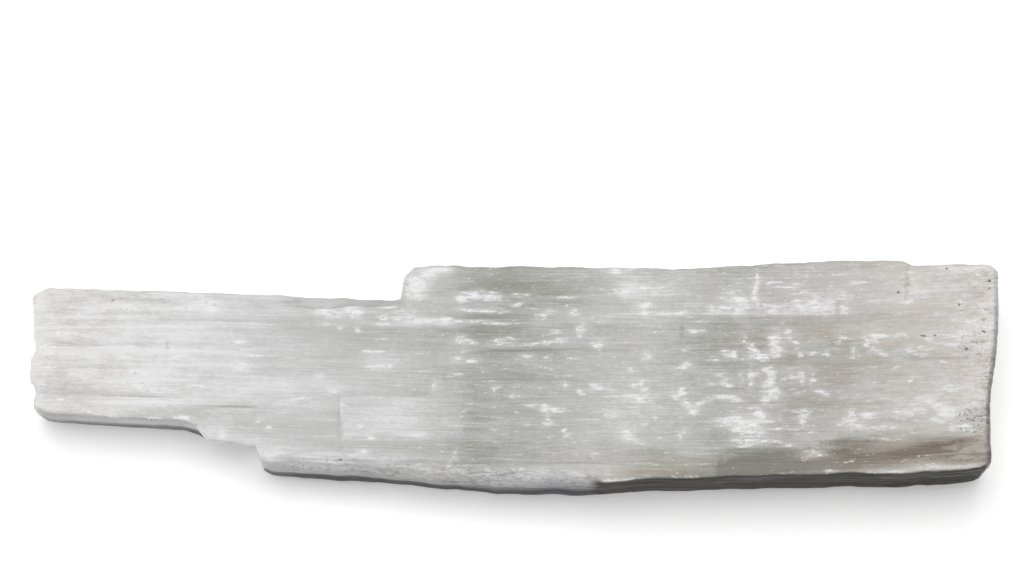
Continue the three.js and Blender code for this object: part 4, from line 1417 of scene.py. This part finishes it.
STREAKS = {
    # what the fibre is made of, broad to fine
    "bundles": Streak(140, 4.6, 2.0, 3.1),
    "threads": Streak(55, 1.5, 2.0, 7.7),
    "hairs": Streak(22, 0.6, 1.0, 1.3),
    "lines": Streak(48, 0.7, 1.0, 2.6),
    "cracks": Streak(34, 0.6, 1.0, 5.2),
    # how it clouds
    "clouds": Streak(15, 6, 3.0, 5.9),
    "blotches": Streak(7, 3.4, 2.0, 2.2),
    "mottle": Streak(2.4, 1.1, 3.0, 6.3),
    "grain": Streak(0.8, 0.6, 2.0, 8.8),
    # how it is crushed: torn lace, dashes, beads along a line, crumbs and pits
    "lace": Streak(3.6, 1.1, 4.0, 9.4),
    "dashes": Streak(8, 0.8, 2.0, 4.2),
    "beads": Streak(1.3, 0.9, 1.0, 7.1),
    "crumbs": Streak(3.0, 1.6, 2.0, 6.9),
    "pits": Streak(1.0, 0.8, 0.0, 3.7),
}
FIELDS = ("clear", "bruise", "stain_and_end_shade", "warm", "dusk", "grit", "crumb", "cool", "stripes")


@dataclass(frozen=True)
class SatinSpar:
    """Satin spar, the fibrous gypsum: split, not polished.

    Sound fibre is clear and shows grey, air between fibres makes it milky, and crushed fibre
    is chalk white. Its gloss is silky, because the fibres all run one way.
    """

    name: str = "satin_spar_split_fibre"
    milk: str = "#dbdbdc"
    grey: str = "#b4b4b3"
    clear: str = "#92938b"
    deep: str = "#6f6d67"
    chalk: str = "#e4e5e4"
    cream: str = "#cfc5b9"
    # clay stain, which also carries painted shade in the broken ends' recesses
    clay_and_end_shade: str = "#75695d"
    rust: str = "#574438"
    # the two colours of the painted shade on the walls and the right end's rim, which the crumbs take too
    shade: str = "#34312c"
    plum_shade: str = "#414045"
    ior: float = 1.52

    def build(self) -> bpy.types.Material:
        """Makes the material.

        Returns:
            The material, read from the mesh's own fields and fibre coordinates.
        """
        material = bpy.data.materials.new(self.name)
        material.use_nodes = True
        material.node_tree.nodes.clear()
        SparShader(Nodes(material.node_tree), self).build()
        return material


class SparShader:
    """Satin spar's formulas. Each works on values by name: fields, noises and earlier sums."""

    def __init__(self, nodes: Nodes, spar: SatinSpar) -> None:
        """Adds the mesh's fields and the streaks.

        Args:
            nodes: The material's nodes.
            spar: The colours.
        """
        self.nodes = nodes
        self.spar = spar
        self.value = {name: nodes.add("Attribute", {"attribute_name": name}, "Fac") for name in FIELDS}
        for name, streak in STREAKS.items():
            self.value[name] = self.streak(streak)

    def streak(self, streak: Streak) -> Socket:
        """One noise on the fibre's own coordinates.

        Args:
            streak: Its sizes.

        Returns:
            The noise, from about -0.3 to 0.3 about 0.
        """
        fibre = self.nodes.add("Attribute", {"attribute_name": "fibre"}, "Vector")
        reach = (streak.along, streak.across, streak.across)
        place = self.nodes.add(
            "Mapping", s0=fibre, Scale=tuple(1.0 / (size * MM) for size in reach),
            Location=tuple(streak.offset * share for share in (1.0, 1.7, 2.3)),
        )
        level = self.nodes.add("TexNoise", Vector=place, Scale=1.0, Detail=streak.octaves, Roughness=0.55)
        return self.nodes.add("Math", DIFFERENCE, s0=level, s1=0.5)

    def weigh(self, start: Socket | float, **weights: float) -> Socket:
        """Adds to a start each named value times its weight.

        Args:
            start: What the sum starts from.
            **weights: The weight of each value by its name.

        Returns:
            The sum.
        """
        for name, weight in weights.items():
            start = self.nodes.add("Math", PRODUCT_SUM, s0=self.value[name], s1=weight, s2=start)
        return start

    def tone(self) -> Socket:
        """How clear the fibre is.

        The field, plus clouds, plus what its streaks add where it is striped, plus cracks where
        it is clear, less pale lines where it is striped, plus patches where it is warm.

        Returns:
            About 0 for milk, 0.5 for grey, 1 for clear and more for deep.
        """
        add, value = self.nodes.add, self.value
        streaked = self.weigh(
            0.0, bundles=0.24, threads=0.24, hairs=0.3, clouds=0.3, mottle=0.5, grain=0.5
        )
        value["streaked"] = add("Math", PRODUCT, s0=streaked, s1=value["stripes"])
        cracked = add("MapRange", SMOOTH_STEP, Value=value["cracks"], From_Min=0.13, From_Max=0.26)
        value["dark_lines"] = add("Math", PRODUCT, s0=cracked, s1=value["clear"])
        lined = add("MapRange", SMOOTH_STEP, Value=value["lines"], From_Min=0.05, From_Max=0.22)
        value["pale_lines"] = add("Math", PRODUCT, s0=lined, s1=value["stripes"])
        patched = self.weigh(value["clouds"], blotches=1.2)
        value["patches"] = add("Math", PRODUCT, s0=patched, s1=value["warm"])
        return self.weigh(
            value["clear"], clouds=0.2, streaked=1.0, dark_lines=0.26, pale_lines=-0.18, patches=1.1
        )

    def chalky(self) -> Socket:
        """How white the crushed fibre is.

        It is whole where its field is strong, in lace and dashes where that is weak, and has
        faint dots along some lines.

        Returns:
            The share of chalk.
        """
        add, value = self.nodes.add, self.value
        crush = self.weigh(value["bruise"], lace=2.6, dashes=1.4, grain=2.0)
        whole = add("MapRange", SMOOTH_STEP, Value=crush, From_Min=0.36, From_Max=1.38)
        dots = add("MapRange", SMOOTH_STEP, Value=value["lines"], From_Min=0.10, From_Max=0.22)
        for name, low, high in (("beads", -0.12, 0.12), ("bruise", -0.1, 0.22)):
            more = add("MapRange", SMOOTH_STEP, Value=value[name], From_Min=low, From_Max=high)
            dots = add("Math", PRODUCT, s0=dots, s1=more)
        faint = add("Math", PRODUCT, s0=dots, s1=0.2)
        return add("Math", LARGER, s0=whole, s1=faint)

    def crumbly(self) -> Socket:
        """How dark the crumbs in crushed fibre are: peaks of the crumb noise, by their field.

        Returns:
            The share of dark.
        """
        add, value = self.nodes.add, self.value
        crumbs = self.weigh(value["crumbs"], grain=0.6)
        peaks = add("MapRange", SMOOTH_STEP, Value=crumbs, From_Min=0.06, From_Max=0.2)
        fleck = add("Math", PRODUCT, s0=peaks, s1=value["crumb"])
        return add("Math", PRODUCT, s0=fleck, s1=0.36)

    def gritty(self) -> Socket:
        """Where grit lies in pits: whole where its field is strong, else in scattered specks.

        Returns:
            The share of grit.
        """
        add, value = self.nodes.add, self.value
        pits = self.weigh(value["pits"], grit=0.06)
        specks = add("MapRange", SMOOTH_STEP, Value=pits, From_Min=0.17, From_Max=0.25)
        here = add("MapRange", SMOOTH_STEP, Value=value["grit"], From_Min=0.1, From_Max=0.5)
        specks = add("Math", PRODUCT, s0=specks, s1=here)
        spots = self.weigh(value["grit"], grain=0.8)
        spots = add("MapRange", SMOOTH_STEP, Value=spots, From_Min=0.7, From_Max=0.95)
        grit = add("Math", LARGER, s0=specks, s1=spots)
        return add("Math", PRODUCT, s0=grit, s1=0.8)

    def colour(self) -> Socket:
        """The colour: milk, with a coat for each thing that the eye sees, one over the other.

        As it clears, the fibre goes from milk to grey, to clear and to deep. Cream, clay with the painted
        shade of the broken ends' recesses, chalk, the painted shade of the walls and the right end's rim,
        crumbs and grit lie over that.

        Returns:
            The colour.
        """
        add, value, spar = self.nodes.add, self.value, self.spar
        tone = self.tone()
        clearer = [
            add("MapRange", SMOOTH_STEP, Value=tone, From_Min=low, From_Max=high)
            for low, high in ((-0.05, 0.6), (0.5, 1.1), (1.0, 1.6))
        ]
        warm = add("Math", PRODUCT, s0=value["warm"], s1=self.weigh(0.6, clouds=1.6))
        # clay stain, and painted shade in the broken ends' recesses
        stain_and_shade_share = self.weigh(0.85, threads=2.2, clouds=1.0)
        stain_and_shade_share = add("Math", PRODUCT, s0=value["stain_and_end_shade"], s1=stain_and_shade_share)
        value["chalky"] = self.chalky()
        # painted shade on the walls and the right end's rim, a little streaked, in the two shade colours
        # picked by the cool field
        dusky = self.weigh(0.98, threads=0.35, hairs=0.3, lines=0.25, clouds=0.15)
        dusky = add("Math", PRODUCT, s0=value["dusk"], s1=dusky)
        dark = add("Mix", COLOURS, 2, s0=value["cool"], s6=linear(spar.shade), s7=linear(spar.plum_shade))
        coats = (
            (clearer[0], linear(spar.grey)), (clearer[1], linear(spar.clear)),
            (clearer[2], linear(spar.deep)), (warm, linear(spar.cream)),
            (stain_and_shade_share, linear(spar.clay_and_end_shade)), (value["chalky"], linear(spar.chalk)),
            (dusky, dark), (self.crumbly(), dark), (self.gritty(), linear(spar.rust)),
        )
        colour = linear(spar.milk)
        for share, over in coats:
            colour = add("Mix", COLOURS, 2, s0=share, s6=colour, s7=over)
        return colour

    def build(self) -> None:
        """Makes the surface: soft-lit under its skin, silky, and duller where crushed and where shade is
        painted.
        """
        add, value = self.nodes.add, self.value
        colour = self.colour()
        rough = self.weigh(0.42, chalky=0.35, hairs=0.25, dusk=0.45)
        value["chalk_grain"] = add("Math", PRODUCT, s0=value["chalky"], s1=value["grain"])
        height = self.weigh(0.0, hairs=0.5, threads=0.8, chalk_grain=1.0, chalky=0.12)
        bump = add("Bump", Height=height, Strength=0.4, Distance=0.3 * MM)
        shader = add(
            "BsdfPrincipled", Base_Color=colour, Roughness=rough, IOR=self.spar.ior,
            Specular_IOR_Level=0.3, Subsurface_Weight=0.45, Subsurface_Radius=(1.0, 0.97, 0.92),
            Subsurface_Scale=2.5 * MM, Normal=bump,
        )
        add("OutputMaterial", Surface=shader)


@dataclass(frozen=True)
class PaleCard:
    """Matt white card, lit a little from beneath: no texture, no gloss, and only a pale shadow."""

    name: str = "white_card"
    colour: str = "#f9f9f9"
    roughness: float = 0.9
    gloss: float = 0.1
    glow: float = 0.22

    def build(self) -> bpy.types.Material:
        """Makes the material.

        Returns:
            The card's material.
        """
        material = bpy.data.materials.new(self.name)
        material.use_nodes = True
        sockets = material.node_tree.nodes["Principled BSDF"].inputs
        sockets["Base Color"].default_value = linear(self.colour)
        sockets["Roughness"].default_value = self.roughness
        sockets["Specular IOR Level"].default_value = self.gloss
        sockets["Emission Color"].default_value = linear(self.colour)
        sockets["Emission Strength"].default_value = self.glow
        return material


# ------------------------------------------------------------------ the studio


@dataclass(frozen=True)
class SoftBox:
    """A square lamp that faces the log: its place and side in metres, and its power in watts."""

    name: str
    place: tuple[float, float, float]
    side: float
    watts: float


@dataclass
class Studio:
    """Floor, lights and camera. The camera's lengths are millimetres."""

    floor_reach: float = 6.0
    lamps: tuple[SoftBox, ...] = (
        SoftBox("overhead_box", (-0.1, 0.45, 1.7), 1.4, 20.0),
        SoftBox("side_box", (-1.6, 0.2, 1.2), 0.9, 4.0),
    )
    sky: float = 0.5
    aim: tuple[float, float, float] = (-0.5, 33.1, 34.0)
    elevation: float = 77.0
    distance: float = 1600.0
    lens: float = 136.0
    sensor: float = 36.0
    farthest: float = 50.0

    def floor(self) -> None:
        """A wide card at the log's resting plane."""
        r = self.floor_reach
        mesh = bpy.data.meshes.new("floor_card")
        mesh.from_pydata([(-r, -r, 0), (r, -r, 0), (r, r, 0), (-r, r, 0)], [], [(0, 1, 2, 3)])
        mesh.materials.append(PaleCard().build())
        card = bpy.data.objects.new("floor_card", mesh)
        bpy.context.scene.collection.objects.link(card)
        card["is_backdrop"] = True

    def light(self, box: SoftBox) -> None:
        """Hangs a soft box.

        Args:
            box: The lamp.
        """
        lamp = bpy.data.lights.new(box.name, "AREA")
        lamp.shape = "SQUARE"
        lamp.size = box.side
        lamp.energy = box.watts
        hung = bpy.data.objects.new(box.name, lamp)
        hung.location = box.place
        hung.rotation_euler = self.facing(-np.array(box.place))
        bpy.context.scene.collection.objects.link(hung)

    def facing(self, towards: np.ndarray) -> tuple[float, float, float]:
        """The turn that points an object's -Z along a direction, with its top up."""
        x, y, z = towards / np.linalg.norm(towards)
        return (math.acos(-z), 0.0, math.atan2(-x, y) if math.hypot(x, y) > 1e-6 else 0.0)

    def camera(self) -> None:
        """A long lens that looks down on the log, with the log low in the picture."""
        data = bpy.data.cameras.new("camera")
        data.lens = self.lens
        data.sensor_width = self.sensor
        data.clip_end = self.farthest
        camera = bpy.data.objects.new("camera", data)
        rise = math.radians(self.elevation)
        back = np.array([0.0, -math.cos(rise), math.sin(rise)])
        camera.location = (np.array(self.aim) + back * self.distance) * MM
        camera.rotation_euler = self.facing(-back)
        bpy.context.scene.collection.objects.link(camera)
        bpy.context.scene.camera = camera

    def build(self) -> None:
        """Sets everything up."""
        self.floor()
        for box in self.lamps:
            self.light(box)
        world = bpy.data.worlds.new("studio")
        world.use_nodes = True
        background = world.node_tree.nodes["Background"]
        background.inputs["Color"].default_value = (1.0, 1.0, 1.0, 1.0)
        background.inputs["Strength"].default_value = self.sky
        bpy.context.scene.world = world
        bpy.context.scene.view_settings.view_transform = "Standard"
        self.camera()


def main() -> None:
    """Builds the studio and the log, and works out the CAD's box and the visual's box."""
    logging.basicConfig(level=logging.INFO)
    Studio().build()
    log = LogMesh(LogForm()).build()
    log.data.materials.append(SatinSpar().build())
    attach(log, "root")
    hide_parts("selenite_log")
    boxes = {"cad": CAD_BOUNDS, "visual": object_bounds()}
    plain = {name: [list(corner) for corner in box] for name, box in boxes.items()}
    LOG.info("%s: %d triangles", log.name, sum(len(p.vertices) - 2 for p in log.data.polygons))


if __name__ == "__main__":
    main()
